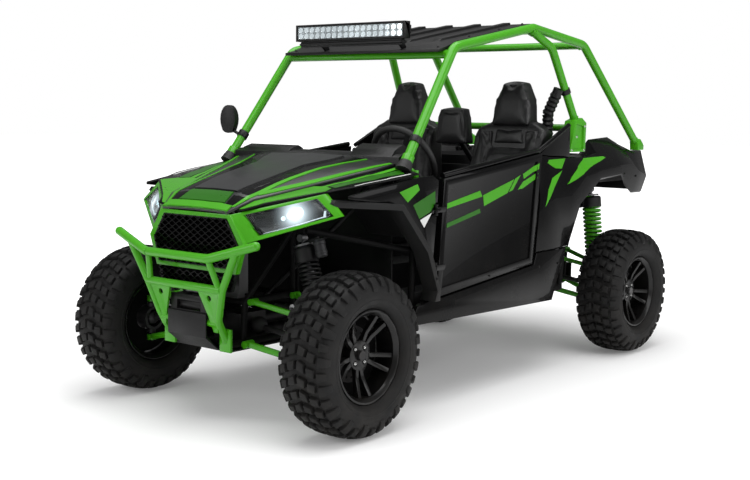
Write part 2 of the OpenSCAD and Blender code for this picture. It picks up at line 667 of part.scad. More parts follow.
// One pair of wishbones: y of the axle
module wishbones(y) {
  difference() {
    union() {
      for (s = [-1, 1]) {
        rod([pivot_x, y + s * arm_spread, lower_pivot_z], [king_x, y, lower_joint_z], arm_r);
        translate([pivot_x, y + s * arm_spread - 25, lower_pivot_z]) rotate([-90, 0, 0]) cylinder(r = eye_r, h = 50);
      }
      translate([king_x, y, lower_joint_z - 13]) cylinder(r = 21, h = 26);
    }
    translate([king_x, y, lower_joint_z - 40]) cylinder(r = 10 + fit, h = 80);
  }
  difference() {
    union() {
      for (s = [-1, 1]) {
        rod([upper_pivot_x, y + s * (arm_spread - 20), upper_pivot_z], [king_x, y, upper_joint_z], arm_r - 2);
        translate([upper_pivot_x, y + s * (arm_spread - 20) - 22, upper_pivot_z]) rotate([-90, 0, 0])
          cylinder(r = eye_r - 2, h = 44);
      }
      translate([king_x, y, upper_joint_z - 13]) cylinder(r = 20, h = 26);
      translate([shock_low_x, y - 52, strut_z]) rotate([-90, 0, 0]) cylinder(r = 11, h = 104);
    }
    translate([king_x, y, upper_joint_z - 40]) cylinder(r = 10 + fit, h = 80);
  }
}

shock_low_x = king_x - 126;
strut_z = mix(upper_joint_z, upper_pivot_z, (king_x - shock_low_x) / (king_x - upper_pivot_x));
shock_low_z = strut_z + 11 + eye_r + fit;
// Upper ends of the shocks under the top tubes: x and z, front then rear
shock_tops = [[shock_low_x - 100, front_top[2] - frame_r - eye_r - fit],
  [shock_low_x - 42, rear_top[2] - frame_r - eye_r - fit]];

module arms_front() color(green) both() wishbones(front_y);
module arms_rear() color(green) both() wishbones(rear_y);

module shock(y, top) {
  low_at = [shock_low_x, y, shock_low_z];
  top_at = [top[0], y, top[1]];
  len = norm(top_at - low_at);
  for (p = [low_at, top_at]) translate(p - [0, 18, 0]) rotate([-90, 0, 0]) cylinder(r = eye_r, h = 36);
  along(low_at, top_at) {
    cylinder(r = 23, h = len * 0.55);
    cylinder(r = 10, h = len);
    translate([0, 0, 40]) cylinder(r = coil_r + wire_r, h = 8);
    translate([0, 0, len - 36]) cylinder(r = coil_r + wire_r, h = 8);
  }
}

module shocks() color(steel) both() {
  shock(front_y, shock_tops[0]);
  shock(rear_y, shock_tops[1]);
}

// A round wire wound between two heights
module coil(h0, h1) {
  sides = 6;
  steps = 9;
  n = coil_turns * steps;
  pts = [for (i = [0:n], k = [0:sides-1])
    let (t = 360 * i / steps, q = 360 * (k + 0.5) / sides, r = coil_r + wire_r * cos(q))
    [r * cos(t), r * sin(t), mix(h0 + wire_r, h1 - wire_r, i / n) + wire_r * sin(q)]];
  faces = concat([[for (k = [0:sides-1]) k]], [[for (k = [sides-1:-1:0]) n * sides + k]],
    [for (i = [0:n-1], k = [0:sides-1]) let (a = i * sides + k, b = i * sides + (k + 1) % sides)
      each [[a, a + sides, b], [b, a + sides, b + sides]]]);
  polyhedron(pts, faces);
}

module springs() color(char) both()
  for (i = [0, 1]) let (y = [front_y, rear_y][i], top = shock_tops[i],
    a = [shock_low_x, y, shock_low_z], b = [top[0], y, top[1]])
    along(a, b) coil(48 + fit, norm(b - a) - 36 - fit);

// Upright at the end of the wishbones: y of the axle, with or without a steering arm
module upright(y, arm) {
  hub = wheel_x + 2;
  difference() {
    union() {
      translate([king_x - 24, y, axle_z]) rotate([0, 90, 0]) cylinder(r = 56, h = hub - king_x + 24);
      for (s = [-1, 1]) translate([king_x, y, axle_z + s * 62 - 10]) cylinder(r = 20, h = 20);
      translate([king_x, y, lower_joint_z - 18]) cylinder(r = 10, h = 50);
      translate([king_x, y, upper_joint_z - 32]) cylinder(r = 10, h = 50);
      if (arm) {
        box([king_x - 22, y + 30, axle_z + 24], [king_x + 2, y + steer_reach, axle_z + 38]);
        translate([king_x - 10, y + steer_reach, axle_z + 24]) cylinder(r = 16, h = 14);
      }
    }
    translate([king_x - 25, y, axle_z]) rotate([0, 90, 0]) cylinder(r = 43, h = 64);
  }
  translate([hub - 1, y, axle_z]) rotate([0, 90, 0]) cylinder(r = 20, h = 58);
}

module hub_carriers() color(char) both() upright(rear_y, false);
module knuckle_left() color(char) upright(front_y, true);
module knuckle_right() color(char) mirror([1, 0, 0]) upright(front_y, true);

module steering_rack() color(steel) {
  translate([-188, rack_y, rack_z]) rotate([0, 90, 0]) cylinder(r = 12, h = 376);
  both() {
    translate([184, rack_y, rack_z]) rotate([0, 90, 0]) cylinder(r = 17, h = 36);
    rod([205, rack_y, rack_z - 1], [king_x - 12, rack_y, steer_pin_z + 12], 8);
    translate([king_x - 10, rack_y, steer_pin_z]) cylinder(r = 14, h = 23);
  }
}

module steering_wheel() color(black) {
  along(wheel_at - column_axis * 48, wheel_at + column_axis * 30) difference() {
    union() {
      translate([0, 0, 48]) rotate_extrude() translate([wheel_r, 0]) circle(r = 15, $fn = 24);
      cylinder(r = 30, h = 62);
      for (a = [90, 210, 330]) rotate([0, 0, a]) box([0, -16, 40], [wheel_r, 16, 52]);
    }
    translate([0, 0, -1]) cylinder(r = 12.05, h = 45);
  }
}

// Outline of a door in y and z
door_loop = [[-563, 506], [rear_y - 952, 582], [rear_y - 886, 1130], [-519, 1036]];

module door() {
  inner = inset(door_loop, door_border);
  difference() {
    plate_yz(door_loop, 642 - door_t, 642);
    plate_yz(inner, 632, 650);
    plate_yz(inner, 600, 642 - door_t + 12);
  }
  rod([628, -516, 1049], [622, rear_y - 895, 1142], 13);
  difference() {
    for (z = hinge_z) {
      translate([hinge_x, hinge_y, z - 16]) cylinder(r = 9, h = 32);
      plate_yz([[hinge_y, z - 12], [-520, z - 12], [-505, z + 12], [hinge_y, z + 12]], 641, 650);
    }
    for (z = hinge_z) translate([hinge_x, hinge_y, z - 30]) cylinder(r = 5 + fit, h = 60);
  }
}
module door_left() color(black) door();
module door_right() color(black) mirror([1, 0, 0]) door();

// Angle between the two spokes of a pair
spoke_pair = 22;

// One rim about its own axis, the outside towards +X
module rim() {
  lip = rim_d / 2;
  half = rim_w / 2;
  rotate([0, 90, 0]) difference() {
    union() {
      rotate_extrude($fn = 64) polygon([[lip, half], [lip, half - 7], [lip - 16, half - 12], [lip - 16, -half + 12],
        [lip, -half + 7], [lip, -half], [lip - 5, -half], [lip - 23, -half + 16], [lip - 23, half - 16], [lip - 8, half]]);
      translate([0, 0, 10]) cylinder(r = 62, h = 34);
      for (i = [0:spokes/2-1], s = [-1, 1]) rotate([0, 0, i * 720 / spokes + s * spoke_pair / 2])
        plate_xz([[40, 12], [lip - 20, half - 50], [lip - 20, half - 22], [96, 46], [40, 40]], -9, 9);
    }
    cylinder(r = 20.05, h = 51);
    for (i = [0:3]) rotate([0, 0, 45 + i * 90]) translate([42, 0, 30]) cylinder(r = 11, h = 20, $fn = 24);
  }
}

// One tyre about its own axis. The walls have two points a lug, the tread four,
// and the lugs of the two halves stand half a pitch apart.
module tyre() {
  half = tyre_w / 2;
  top = tyre_d / 2;
  seat = rim_w / 2 - 12.5;
  bead = (rim_d / 2 - 16 + fit) / cos(90 / lugs);
  // rows from the rim up the wall: distance from the middle, radius
  wall = [[seat, bead], [seat, bead + 17], [half - 9, bead + 26], [half, bead + 70]];
  // rows of the tread: distance from the middle, radius on a lug, radius between lugs
  tread = [[half - 4, top - 46, top - 46], [half - 26, top - 10, top - 30], [18, top, top - lug_h]];
  share = [0, 0.12, 0.5, 0.62];
  m = 2 * lugs;
  n = 4 * lugs;
  function spot(x, r, a) = [x, r * sin(a), -r * cos(a)];
  walls = concat([for (w = wall) [-w[0], w[1]]], [for (i = [3:-1:0]) wall[i]], [[0, top - lug_h - 14]]);
  coarse = [for (w = walls, i = [0:m-1]) spot(w[0], w[1], (i - 1) * 180 / lugs)];
  fine = [for (s = [-1, 1], k = [0:2], i = [0:n-1])
    let (t = tread[s < 0 ? k : 2 - k], q = i % 4, on_lug = (s < 0) == (q == 1 || q == 2))
    spot(s * t[0], on_lug ? t[1] : t[2], (floor(i / 4) + share[q] - 0.5) * 360 / lugs)];
  function c(r, i) = r * m + i % m;
  function f(r, i) = 9 * m + r * n + i % n;
  quads = concat(
    [for (r = [0, 1, 2, 4, 5, 6, 7], i = [0:m-1]) [c(r + 1, i), c(r + 1, i + 1), c(r, i + 1), c(r, i)]],
    [for (i = [0:m-1]) [c(0, i), c(0, i + 1), c(8, i + 1), c(8, i)]],
    [for (r = [0:4], i = [0:n-1]) [f(r + 1, i), f(r + 1, i + 1), f(r, i + 1), f(r, i)]]);
  joins = [for (i = [0:m-1]) let (j = 2 * i) each [
    [f(0, j), f(0, j + 1), c(3, i)], [f(0, j + 1), c(3, i + 1), c(3, i)], [f(0, j + 1), f(0, j + 2), c(3, i + 1)],
    [f(5, j + 1), f(5, j), c(4, i)], [c(4, i), c(4, i + 1), f(5, j + 1)], [f(5, j + 2), f(5, j + 1), c(4, i + 1)]]];
  polyhedron(concat(coarse, fine),
    concat([for (q = quads) each [[q[0], q[1], q[2]], [q[0], q[2], q[3]]]], joins));
}

module at_wheel(side, y) {
  translate([side * wheel_x, y, axle_z]) scale([side, 1, 1]) children();
}

module rim_fl() color(black) at_wheel(1, front_y) rim();
module rim_fr() color(black) at_wheel(-1, front_y) rim();
module rim_rl() color(black) at_wheel(1, rear_y) rim();
module rim_rr() color(black) at_wheel(-1, rear_y) rim();
module tyre_fl() color(char) at_wheel(1, front_y) tyre();
module tyre_fr() color(char) at_wheel(-1, front_y) tyre();
module tyre_rl() color(char) at_wheel(1, rear_y) tyre();
module tyre_rr() color(char) at_wheel(-1, rear_y) tyre();

frame_floor();
frame_front();
frame_rear();
skid_plate();
tub();
cage();
pillar_brackets();
door_hinges();
roof();
light_bar();
mirrors();
intake_hose();
centre_pad();
hood();
front_fenders();
front_flares();
nose();
headlights();
grille();
radiator();
bumper();
winch();
rear_panels();
cargo_bed();
tail_panel();
tail_lamps();
hitch();
sills();
dash();
steering_gear();
seat_left();
seat_right();
engine();
muffler();
driveline();
arms_front();
arms_rear();
shocks();
springs();
hub_carriers();
door_left();
door_right();
knuckle_left();
knuckle_right();
steering_rack();
steering_wheel();
rim_fl();
rim_fr();
rim_rl();
rim_rr();
tyre_fl();
tyre_fr();
tyre_rl();
tyre_rr();
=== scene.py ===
# %% [markdown]
# A two-seat off-road buggy: a green tube cage on moulded black panels, with long-travel
# wishbones and lugged tyres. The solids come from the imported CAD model, which is a fixed frame:
# nothing here moves or resizes them. This lesson gives every solid its finish, swaps the plain
# ones for finer meshes, and adds the small things that make a vehicle look real.

# %% Load the frame
import bpy, bmesh, json, math
from math import sin, cos, pi, radians
from mathutils import Vector, Matrix
from mathutils.bvhtree import BVHTree

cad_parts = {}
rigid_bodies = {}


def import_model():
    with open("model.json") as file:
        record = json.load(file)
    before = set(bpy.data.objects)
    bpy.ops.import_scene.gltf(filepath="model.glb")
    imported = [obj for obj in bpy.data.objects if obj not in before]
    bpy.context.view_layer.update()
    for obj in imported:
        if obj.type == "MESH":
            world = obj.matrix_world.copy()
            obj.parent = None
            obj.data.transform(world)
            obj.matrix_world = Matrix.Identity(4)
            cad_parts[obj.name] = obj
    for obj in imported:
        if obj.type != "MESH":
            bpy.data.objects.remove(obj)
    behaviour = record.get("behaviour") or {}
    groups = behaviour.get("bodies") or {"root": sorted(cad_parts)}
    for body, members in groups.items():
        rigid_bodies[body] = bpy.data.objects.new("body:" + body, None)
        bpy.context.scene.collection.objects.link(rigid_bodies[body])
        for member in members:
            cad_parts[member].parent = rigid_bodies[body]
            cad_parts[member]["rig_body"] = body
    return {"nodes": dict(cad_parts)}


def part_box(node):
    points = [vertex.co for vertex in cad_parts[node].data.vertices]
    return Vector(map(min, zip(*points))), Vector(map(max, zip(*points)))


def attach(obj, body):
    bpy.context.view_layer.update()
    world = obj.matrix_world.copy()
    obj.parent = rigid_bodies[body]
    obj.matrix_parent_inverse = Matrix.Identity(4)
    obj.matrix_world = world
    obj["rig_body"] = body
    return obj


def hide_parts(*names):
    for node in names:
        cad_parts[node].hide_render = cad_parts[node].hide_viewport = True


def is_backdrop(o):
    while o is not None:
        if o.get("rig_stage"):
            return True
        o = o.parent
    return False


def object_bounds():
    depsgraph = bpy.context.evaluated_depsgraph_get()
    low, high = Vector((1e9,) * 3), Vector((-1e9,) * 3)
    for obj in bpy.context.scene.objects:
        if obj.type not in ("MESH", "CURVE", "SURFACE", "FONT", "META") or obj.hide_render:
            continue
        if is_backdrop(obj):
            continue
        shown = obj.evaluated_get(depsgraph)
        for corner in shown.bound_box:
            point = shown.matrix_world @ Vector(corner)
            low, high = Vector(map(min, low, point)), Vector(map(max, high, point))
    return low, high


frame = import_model()
cad_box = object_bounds()
scene = bpy.context.scene
scene.view_settings.view_transform = "Standard"
nodes = frame["nodes"]

# %% [markdown]
# The camera stands where the photographer stood: in front, a little to the driver's side and
# low. Its place was solved from known points of the frame, such as the wheel centres and the
# corners of the cage, so that each of them falls on its own pixel.

# %% Camera
SENSOR_MM = 36

def look_from(place, turn, tilt, roll, focal_px, width_px):
    turn, tilt, roll = (radians(v) for v in (turn, tilt, roll))
    back = Vector((sin(turn) * cos(tilt), -cos(turn) * cos(tilt), sin(tilt)))
    right = Vector((cos(turn), sin(turn), 0))
    up = back.cross(right)
    across = right * cos(roll) + up * sin(roll)
    upward = up * cos(roll) - right * sin(roll)
    matrix = Matrix((across, upward, back)).transposed().to_4x4()
    matrix.translation = place
    lens = bpy.data.cameras.new("camera")
    lens.sensor_width, lens.sensor_fit = SENSOR_MM, "HORIZONTAL"
    lens.lens = focal_px * SENSOR_MM / width_px
    camera = bpy.data.objects.new("camera", lens)
    camera.matrix_world = matrix
    scene.collection.objects.link(camera)
    scene.camera = camera

CAMERA_PLACE = (3.710, -4.782, 1.346)
TURN, TILT, ROLL = 39.097, 6.404, 0.663
FOCAL_PX, PHOTO_WIDTH_PX = 1176.9, 750
look_from(CAMERA_PLACE, TURN, TILT, ROLL, FOCAL_PX, PHOTO_WIDTH_PX)
print("focal length", round(scene.camera.data.lens, 1), "mm")

# %% [markdown]
# The stage is a plain white floor under a white sky. A soft box above and a pair of wide panels
# give the long highlights that show the shape of gloss paint. The world is full white only to the
# camera and through glass. It is dimmer in reflections and as a light, so that black stays black.

# %% Stage and lights
def mesh_object(name, verts, faces):
    mesh = bpy.data.meshes.new(name)
    mesh.from_pydata([tuple(v) for v in verts], [], faces)
    mesh.update()
    piece = bpy.data.objects.new(name, mesh)
    scene.collection.objects.link(piece)
    return piece

def link(tree, source, target):
    tree.links.new(source, target)

def white_world():
    world = bpy.data.worlds.new("studio")
    scene.world = world
    world.use_nodes = True
    tree = world.node_tree
    ground = tree.nodes["Background"]
    ground.inputs["Color"].default_value = (1, 1, 1, 1)
    rays = tree.nodes.new("ShaderNodeLightPath")
    strength = rays.outputs["Is Camera Ray"]
    for other, level in (("Is Transmission Ray", 1.0), ("Is Glossy Ray", 0.2), ("Is Diffuse Ray", 0.48)):
        part = tree.nodes.new("ShaderNodeMath")
        part.operation = "MULTIPLY"
        part.inputs[1].default_value = level
        link(tree, rays.outputs[other], part.inputs[0])
        most = tree.nodes.new("ShaderNodeMath")
        most.operation = "MAXIMUM"
        link(tree, strength, most.inputs[0])
        link(tree, part.outputs[0], most.inputs[1])
        strength = most.outputs[0]
    link(tree, strength, ground.inputs["Strength"])

def soft_box(name, place, target, width, height, power):
    lamp = bpy.data.lights.new(name, "AREA")
    lamp.shape, lamp.size, lamp.size_y, lamp.energy = "RECTANGLE", width, height, power
    holder = bpy.data.objects.new(name, lamp)
    holder.location = place
    holder.rotation_euler = (Vector(target) - Vector(place)).to_track_quat("-Z", "Y").to_euler()
    scene.collection.objects.link(holder)

def plain_floor():
    side = 40
    corners = [(-side, -side, 0), (side, -side, 0), (side, side, 0), (-side, side, 0)]
    floor = mesh_object("floor", corners, [(0, 1, 2, 3)])
    mat = bpy.data.materials.new("floor_white")
    mat.use_nodes = True
    tree = mat.node_tree
    bsdf = tree.nodes["Principled BSDF"]
    bsdf.inputs["Base Color"].default_value = (0.9, 0.9, 0.9, 1)
    bsdf.inputs["Roughness"].default_value = 0.75
    bsdf.inputs["Specular IOR Level"].default_value = 0.15
    rays = tree.nodes.new("ShaderNodeLightPath")
    place = tree.nodes.new("ShaderNodeTexCoord")
    away = tree.nodes.new("ShaderNodeVectorMath")
    away.operation = "LENGTH"
    link(tree, place.outputs["Object"], away.inputs[0])
    fade = tree.nodes.new("ShaderNodeMapRange")
    fade.interpolation_type = "SMOOTHSTEP"
    for label, value in (("From Min", 1.7), ("From Max", 4.6), ("To Min", 0.12), ("To Max", 1.0)):
        fade.inputs[label].default_value = value
    link(tree, away.outputs["Value"], fade.inputs["Value"])
    glow = tree.nodes.new("ShaderNodeMath")
    glow.operation = "MULTIPLY"
    link(tree, rays.outputs["Is Camera Ray"], glow.inputs[0])
    link(tree, fade.outputs["Result"], glow.inputs[1])
    bsdf.inputs["Emission Color"].default_value = (1, 1, 1, 1)
    link(tree, glow.outputs[0], bsdf.inputs["Emission Strength"])
    floor.data.materials.append(mat)
    floor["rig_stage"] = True

white_world()
plain_floor()
soft_box("top_box", (0.4, -0.6, 5.2), (0, 0, 0.6), 5.0, 6.0, 270)
soft_box("side_panel", (5.2, 0.6, 2.6), (0.4, 0.2, 0.8), 5.5, 2.2, 95)
soft_box("front_panel", (-1.6, -6.0, 2.8), (0, -0.6, 0.7), 4.5, 2.0, 85)

# %% [markdown]
# Three effects come back in nearly every finish, so each is a shader group. The first is moulded
# grain: tiny pits for a bump, with a slow change of gloss over them. The second is handling wear:
# faint streaks and specks. The third is road dust, which gathers low down and fades upwards.
# A group only gives masks and heights; the shader itself stays in each material.

# %% Shader groups
def new_group(name, ins, outs):
    group = bpy.data.node_groups.new(name, "ShaderNodeTree")
    for label, value in ins:
        group.interface.new_socket(label, in_out="INPUT", socket_type="NodeSocketFloat").default_value = value
    for label in outs:
        group.interface.new_socket(label, in_out="OUTPUT", socket_type="NodeSocketFloat")
    start, end = group.nodes.new("NodeGroupInput"), group.nodes.new("NodeGroupOutput")
    place = group.nodes.new("ShaderNodeTexCoord").outputs["Object"]
    return group, start, end, place

def math_node(tree, kind, a, b=None):
    node = tree.nodes.new("ShaderNodeMath")
    node.operation = kind
    for socket, value in zip(node.inputs, (a, b)):
        if isinstance(value, (int, float)):
            socket.default_value = value
        elif value is not None:
            link(tree, value, socket)
    return node.outputs[0]

def span(tree, value, low, high, to_low=0.0, to_high=1.0):
    node = tree.nodes.new("ShaderNodeMapRange")
    for label, number in (("From Min", low), ("From Max", high), ("To Min", to_low), ("To Max", to_high)):
        node.inputs[label].default_value = number
    link(tree, value, node.inputs["Value"])
    return node.outputs["Result"]

def noise(tree, place, scale, detail=3.0, stretch=None):
    if stretch:
        mapping = tree.nodes.new("ShaderNodeMapping")
        mapping.inputs["Scale"].default_value = stretch
        link(tree, place, mapping.inputs["Vector"])
        place = mapping.outputs["Vector"]
    node = tree.nodes.new("ShaderNodeTexNoise")
    node.inputs["Detail"].default_value = detail
    link(tree, place, node.inputs["Vector"])
    if isinstance(scale, (int, float)):
        node.inputs["Scale"].default_value = scale
    else:
        link(tree, scale, node.inputs["Scale"])
    return node.outputs["Fac"]

def grain_group():
    group, start, end, place = new_group("moulded_grain", [("Scale", 400.0)], ["Height", "Patches"])
    pits = group.nodes.new("ShaderNodeTexVoronoi")
    link(group, place, pits.inputs["Vector"])
    link(group, start.outputs["Scale"], pits.inputs["Scale"])
    fine = noise(group, place, start.outputs["Scale"], 4.0)
    link(group, math_node(group, "ADD", pits.outputs["Distance"], fine), end.inputs["Height"])
    link(group, noise(group, place, 6.0, 5.0), end.inputs["Patches"])
    return group

def wear_group():
    group, start, end, place = new_group("handling_wear", [("Scale", 30.0), ("Amount", 0.5)], ["Mask"])
    streaks = noise(group, place, start.outputs["Scale"], 6.0, (1.0, 0.35, 2.2))
    specks = noise(group, place, math_node(group, "MULTIPLY", start.outputs["Scale"], 7.0), 2.0)
    both = math_node(group, "MULTIPLY", span(group, streaks, 0.56, 0.78), span(group, specks, 0.42, 0.7))
    link(group, math_node(group, "MULTIPLY", both, start.outputs["Amount"]), end.inputs["Mask"])
    return group

def dust_group():
    group, start, end, place = new_group("road_dust", [("Top", 0.7), ("Amount", 0.3)], ["Mask"])
    parts = group.nodes.new("ShaderNodeSeparateXYZ")
    link(group, place, parts.inputs[0])
    share = math_node(group, "DIVIDE", parts.outputs["Z"], start.outputs["Top"])
    fall = math_node(group, "SUBTRACT", 1.0, share)
    low = math_node(group, "MAXIMUM", fall, 0.0)
    cloud = span(group, noise(group, place, 14.0, 8.0), 0.3, 0.75)
    settled = math_node(group, "MULTIPLY", low, cloud)
    link(group, math_node(group, "MULTIPLY", settled, start.outputs["Amount"]), end.inputs["Mask"])
    return group

GRAIN, WEAR, DUST = grain_group(), wear_group(), dust_group()
print("groups", [g.name for g in (GRAIN, WEAR, DUST)])

# %% [markdown]
# Each finish is then a few numbers: its colour, gloss and grain, how far the gloss wanders, and
# how much wear and dust it shows. Gloss paint gets a clear coat over a slightly rough base, as on
# the real powder-coated tubes; moulded plastic gets grain and no coat.

# %% Finishes
DUST_COLOUR = (0.20, 0.17, 0.135, 1)

def finish(name, colour, rough, grain=(500, 0.05), drift=0.08, metal=0.0, coat=0.0, coat_rough=0.05,
           wear=0.0, worn=(0.3, 0.3, 0.3), dust=0.0, dust_top=0.7, specular=0.5):
    mat = bpy.data.materials.new(name)
    mat.use_nodes = True
    tree = mat.node_tree
    bsdf = tree.nodes["Principled BSDF"]
    bsdf.inputs["Metallic"].default_value = metal
    bsdf.inputs["Coat Weight"].default_value = coat
    bsdf.inputs["Coat Roughness"].default_value = coat_rough
    bsdf.inputs["Specular IOR Level"].default_value = specular
    grained = tree.nodes.new("ShaderNodeGroup")
    grained.node_tree = GRAIN
    grained.inputs["Scale"].default_value = grain[0]
    tint = tree.nodes.new("ShaderNodeMix")
    tint.data_type = "RGBA"
    tint.inputs["A"].default_value = (*[c * 0.88 for c in colour], 1)
    tint.inputs["B"].default_value = (*[min(1, c * 1.1) for c in colour], 1)
    link(tree, grained.outputs["Patches"], tint.inputs["Factor"])
    colour_out = tint.outputs["Result"]
    glossiest, dullest = max(0.02, rough - drift), min(1, rough + drift)
    rough_out = span(tree, grained.outputs["Patches"], 0.3, 0.7, glossiest, dullest)
    layers = ((WEAR, wear, (*worn, 1), None), (DUST, dust, DUST_COLOUR, dust_top))
    for group, amount, shade, setting in layers:
        if not amount:
            continue
        layer = tree.nodes.new("ShaderNodeGroup")
        layer.node_tree = group
        layer.inputs["Amount"].default_value = amount
        if setting:
            layer.inputs["Top"].default_value = setting
        over = tree.nodes.new("ShaderNodeMix")
        over.data_type = "RGBA"
        over.inputs["B"].default_value = shade
        link(tree, layer.outputs["Mask"], over.inputs["Factor"])
        link(tree, colour_out, over.inputs["A"])
        colour_out = over.outputs["Result"]
        duller = math_node(tree, "MULTIPLY", layer.outputs["Mask"], 0.35)
        rough_out = math_node(tree, "ADD", rough_out, duller)
    link(tree, colour_out, bsdf.inputs["Base Color"])
    link(tree, rough_out, bsdf.inputs["Roughness"])
    bump = tree.nodes.new("ShaderNodeBump")
    bump.inputs["Strength"].default_value = grain[1]
    bump.inputs["Distance"].default_value = 0.001
    link(tree, grained.outputs["Height"], bump.inputs["Height"])
    link(tree, bump.outputs["Normal"], bsdf.inputs["Normal"])
    return mat

GREEN_COLOUR = (0.055, 0.335, 0.006)
green_paint = finish("green_tube_paint", GREEN_COLOUR, 0.34, (160, 0.06), 0.05, coat=0.3, coat_rough=0.07,
                     wear=0.12, worn=(0.10, 0.36, 0.03), specular=0.3)
green_panel = finish("green_panel_gloss", GREEN_COLOUR, 0.3, (120, 0.03), 0.04, coat=0.35, coat_rough=0.04,
                     specular=0.3)
green_dark = finish("green_decal_dark", (0.018, 0.13, 0.004), 0.32, (260, 0.03), 0.05, coat=0.25,
                    coat_rough=0.06, specular=0.25)
green_decal = finish("green_decal_film", GREEN_COLOUR, 0.32, (260, 0.03), 0.05, coat=0.25, coat_rough=0.06,
                     specular=0.25)
gloss_black = finish("black_panel_gloss", (0.0024, 0.0024, 0.0026), 0.24, (120, 0.02), 0.05, coat=0.22,
                     coat_rough=0.03, wear=0.1, worn=(0.015, 0.015, 0.015), dust=0.03, dust_top=0.9,
                     specular=0.06)
satin_hood = finish("hood_satin_grey", (0.018, 0.019, 0.020), 0.34, (300, 0.05), 0.06, coat=0.2,
                    coat_rough=0.2)
charcoal = finish("charcoal_moulding", (0.0052, 0.0054, 0.0057), 0.44, (900, 0.16), 0.07, wear=0.25,
                  worn=(0.03, 0.03, 0.03), dust=0.07, dust_top=1.0, specular=0.3)
black_plastic = finish("black_moulding", (0.0042, 0.0042, 0.0045), 0.42, (900, 0.14), 0.08, wear=0.2,
                       worn=(0.03, 0.03, 0.03), specular=0.35)
black_steel = finish("black_powder_coat", (0.0036, 0.0036, 0.0038), 0.42, (380, 0.12), 0.06, wear=0.3,
                     worn=(0.05, 0.05, 0.05), dust=0.06, specular=0.3)
# Painted shade: the frame tubes get a near-black finish, in place of their green paint, for the shade they
# lie in under the body.
shaded_frame_finish = finish("frame_coat", (0.003, 0.003, 0.0032), 0.58, (380, 0.12), 0.06, wear=0.3,
                     worn=(0.03, 0.03, 0.03), dust=0.05, specular=0.12)
bare_steel = finish("bare_steel", (0.42, 0.42, 0.43), 0.32, (220, 0.06), 0.1, metal=1.0, wear=0.4,
                    worn=(0.16, 0.13, 0.10), dust=0.25, dust_top=0.8)
bright_zinc = finish("bright_zinc", (0.72, 0.72, 0.71), 0.2, (300, 0.03), 0.08, metal=1.0)
cast_alloy = finish("cast_alloy", (0.20, 0.20, 0.205), 0.48, (340, 0.3), 0.1, metal=1.0, wear=0.3,
                    worn=(0.08, 0.075, 0.07), dust=0.3, dust_top=0.8)
dark_cast = finish("dark_cast", (0.035, 0.035, 0.037), 0.5, (340, 0.3), 0.1, metal=0.6, dust=0.2,
                   dust_top=0.7)
rim_paint = finish("rim_black_gloss", (0.0026, 0.0026, 0.0028), 0.3, (200, 0.03), 0.06, coat=0.2,
                   coat_rough=0.08, dust=0.04, dust_top=0.8, specular=0.25)
rubber = finish("tyre_rubber", (0.0065, 0.0065, 0.0067), 0.62, (520, 0.22), 0.08, wear=0.4,
                worn=(0.024, 0.024, 0.023), dust=0.07, dust_top=0.75, specular=0.25)
seat_cover = finish("seat_vinyl", (0.0075, 0.0075, 0.008), 0.40, (700, 0.25), 0.08, wear=0.2,
                    worn=(0.03, 0.03, 0.03))
soft_rubber = finish("soft_rubber", (0.012, 0.012, 0.0122), 0.6, (600, 0.12), 0.06)
print("finishes", len(bpy.data.materials))

# %% [markdown]
# Every CAD solid takes its finish from this table. A solid that a finer mesh will stand for later
# is in it too, so that nothing is ever left in its plain CAD colour.

# %% Dress the solids
DRESS = {
    green_paint: "cage pillar_brackets bumper arms_front arms_rear",
    green_panel: "nose",
    gloss_black: "door_left door_right front_fenders rear_panels sills",
    satin_hood: "hood",
    charcoal: "front_flares tub tail_panel",
    black_plastic: "roof dash mirrors cargo_bed grille steering_wheel skid_plate intake_hose "
                   "headlights tail_lamps",
    # Painted shade: the frame solids are dressed near-black for the shade under the body.
    shaded_frame_finish: "frame_floor frame_front frame_rear",
    black_steel: "steering_gear door_hinges light_bar winch hitch springs",
    cast_alloy: "radiator engine hub_carriers shocks",
    dark_cast: "knuckle_left knuckle_right driveline",
    bare_steel: "steering_rack muffler",
    rim_paint: "rim_fl rim_fr rim_rl rim_rr",
    rubber: "tyre_fl tyre_fr tyre_rl tyre_rr",
    seat_cover: "seat_left seat_right centre_pad",
}

def dress(name, mat):
    nodes[name].data.materials.clear()
    nodes[name].data.materials.append(mat)

for mat, names in DRESS.items():
    for name in names.split():
        dress(name, mat)
print("dressed", sum(len(v.split()) for v in DRESS.values()), "of", len(nodes))

# %% [markdown]
# A few tools are shared by the pieces below. `settle` turns a piece's live modifiers into plain
# mesh. `softened` makes a finer stand-in of a CAD solid: its loose triangles are merged, the flat
# ones joined, and the sharp edges rounded, because a real pressed or moulded edge always catches
# a thin line of light. `PLACED` and `RING` are Geometry Nodes trees that copy one small mesh to
# many spots, which keeps the script short and every copy alike.

# %% Tools
def settle(piece):
    graph = bpy.context.evaluated_depsgraph_get()
    mesh = bpy.data.meshes.new_from_object(piece.evaluated_get(graph))
    mesh.name = piece.name
    piece.modifiers.clear()
    piece.data = mesh
    return piece

def smooth(piece, angle=35):
    piece.data.shade_smooth()
    piece.data.set_sharp_from_angle(angle=radians(angle))

def keep(piece, body, mat=None, stands_for=()):
    if mat:
        piece.data.materials.clear()
        piece.data.materials.append(mat)
    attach(piece, body)
    if stands_for:
        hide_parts(*stands_for)
    return piece

def from_bmesh(name, bm):
    mesh = bpy.data.meshes.new(name)
    bm.to_mesh(mesh)
    bm.free()
    piece = bpy.data.objects.new(name, mesh)
    scene.collection.objects.link(piece)
    return piece

def merged_copy(name):
    bm = bmesh.new()
    bm.from_mesh(nodes[name].data)
    bmesh.ops.remove_doubles(bm, verts=bm.verts, dist=1e-5)
    bmesh.ops.dissolve_limit(bm, angle_limit=radians(1.0), verts=bm.verts, edges=bm.edges)
    return bm

def body_of(name):
    return nodes[name]["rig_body"]

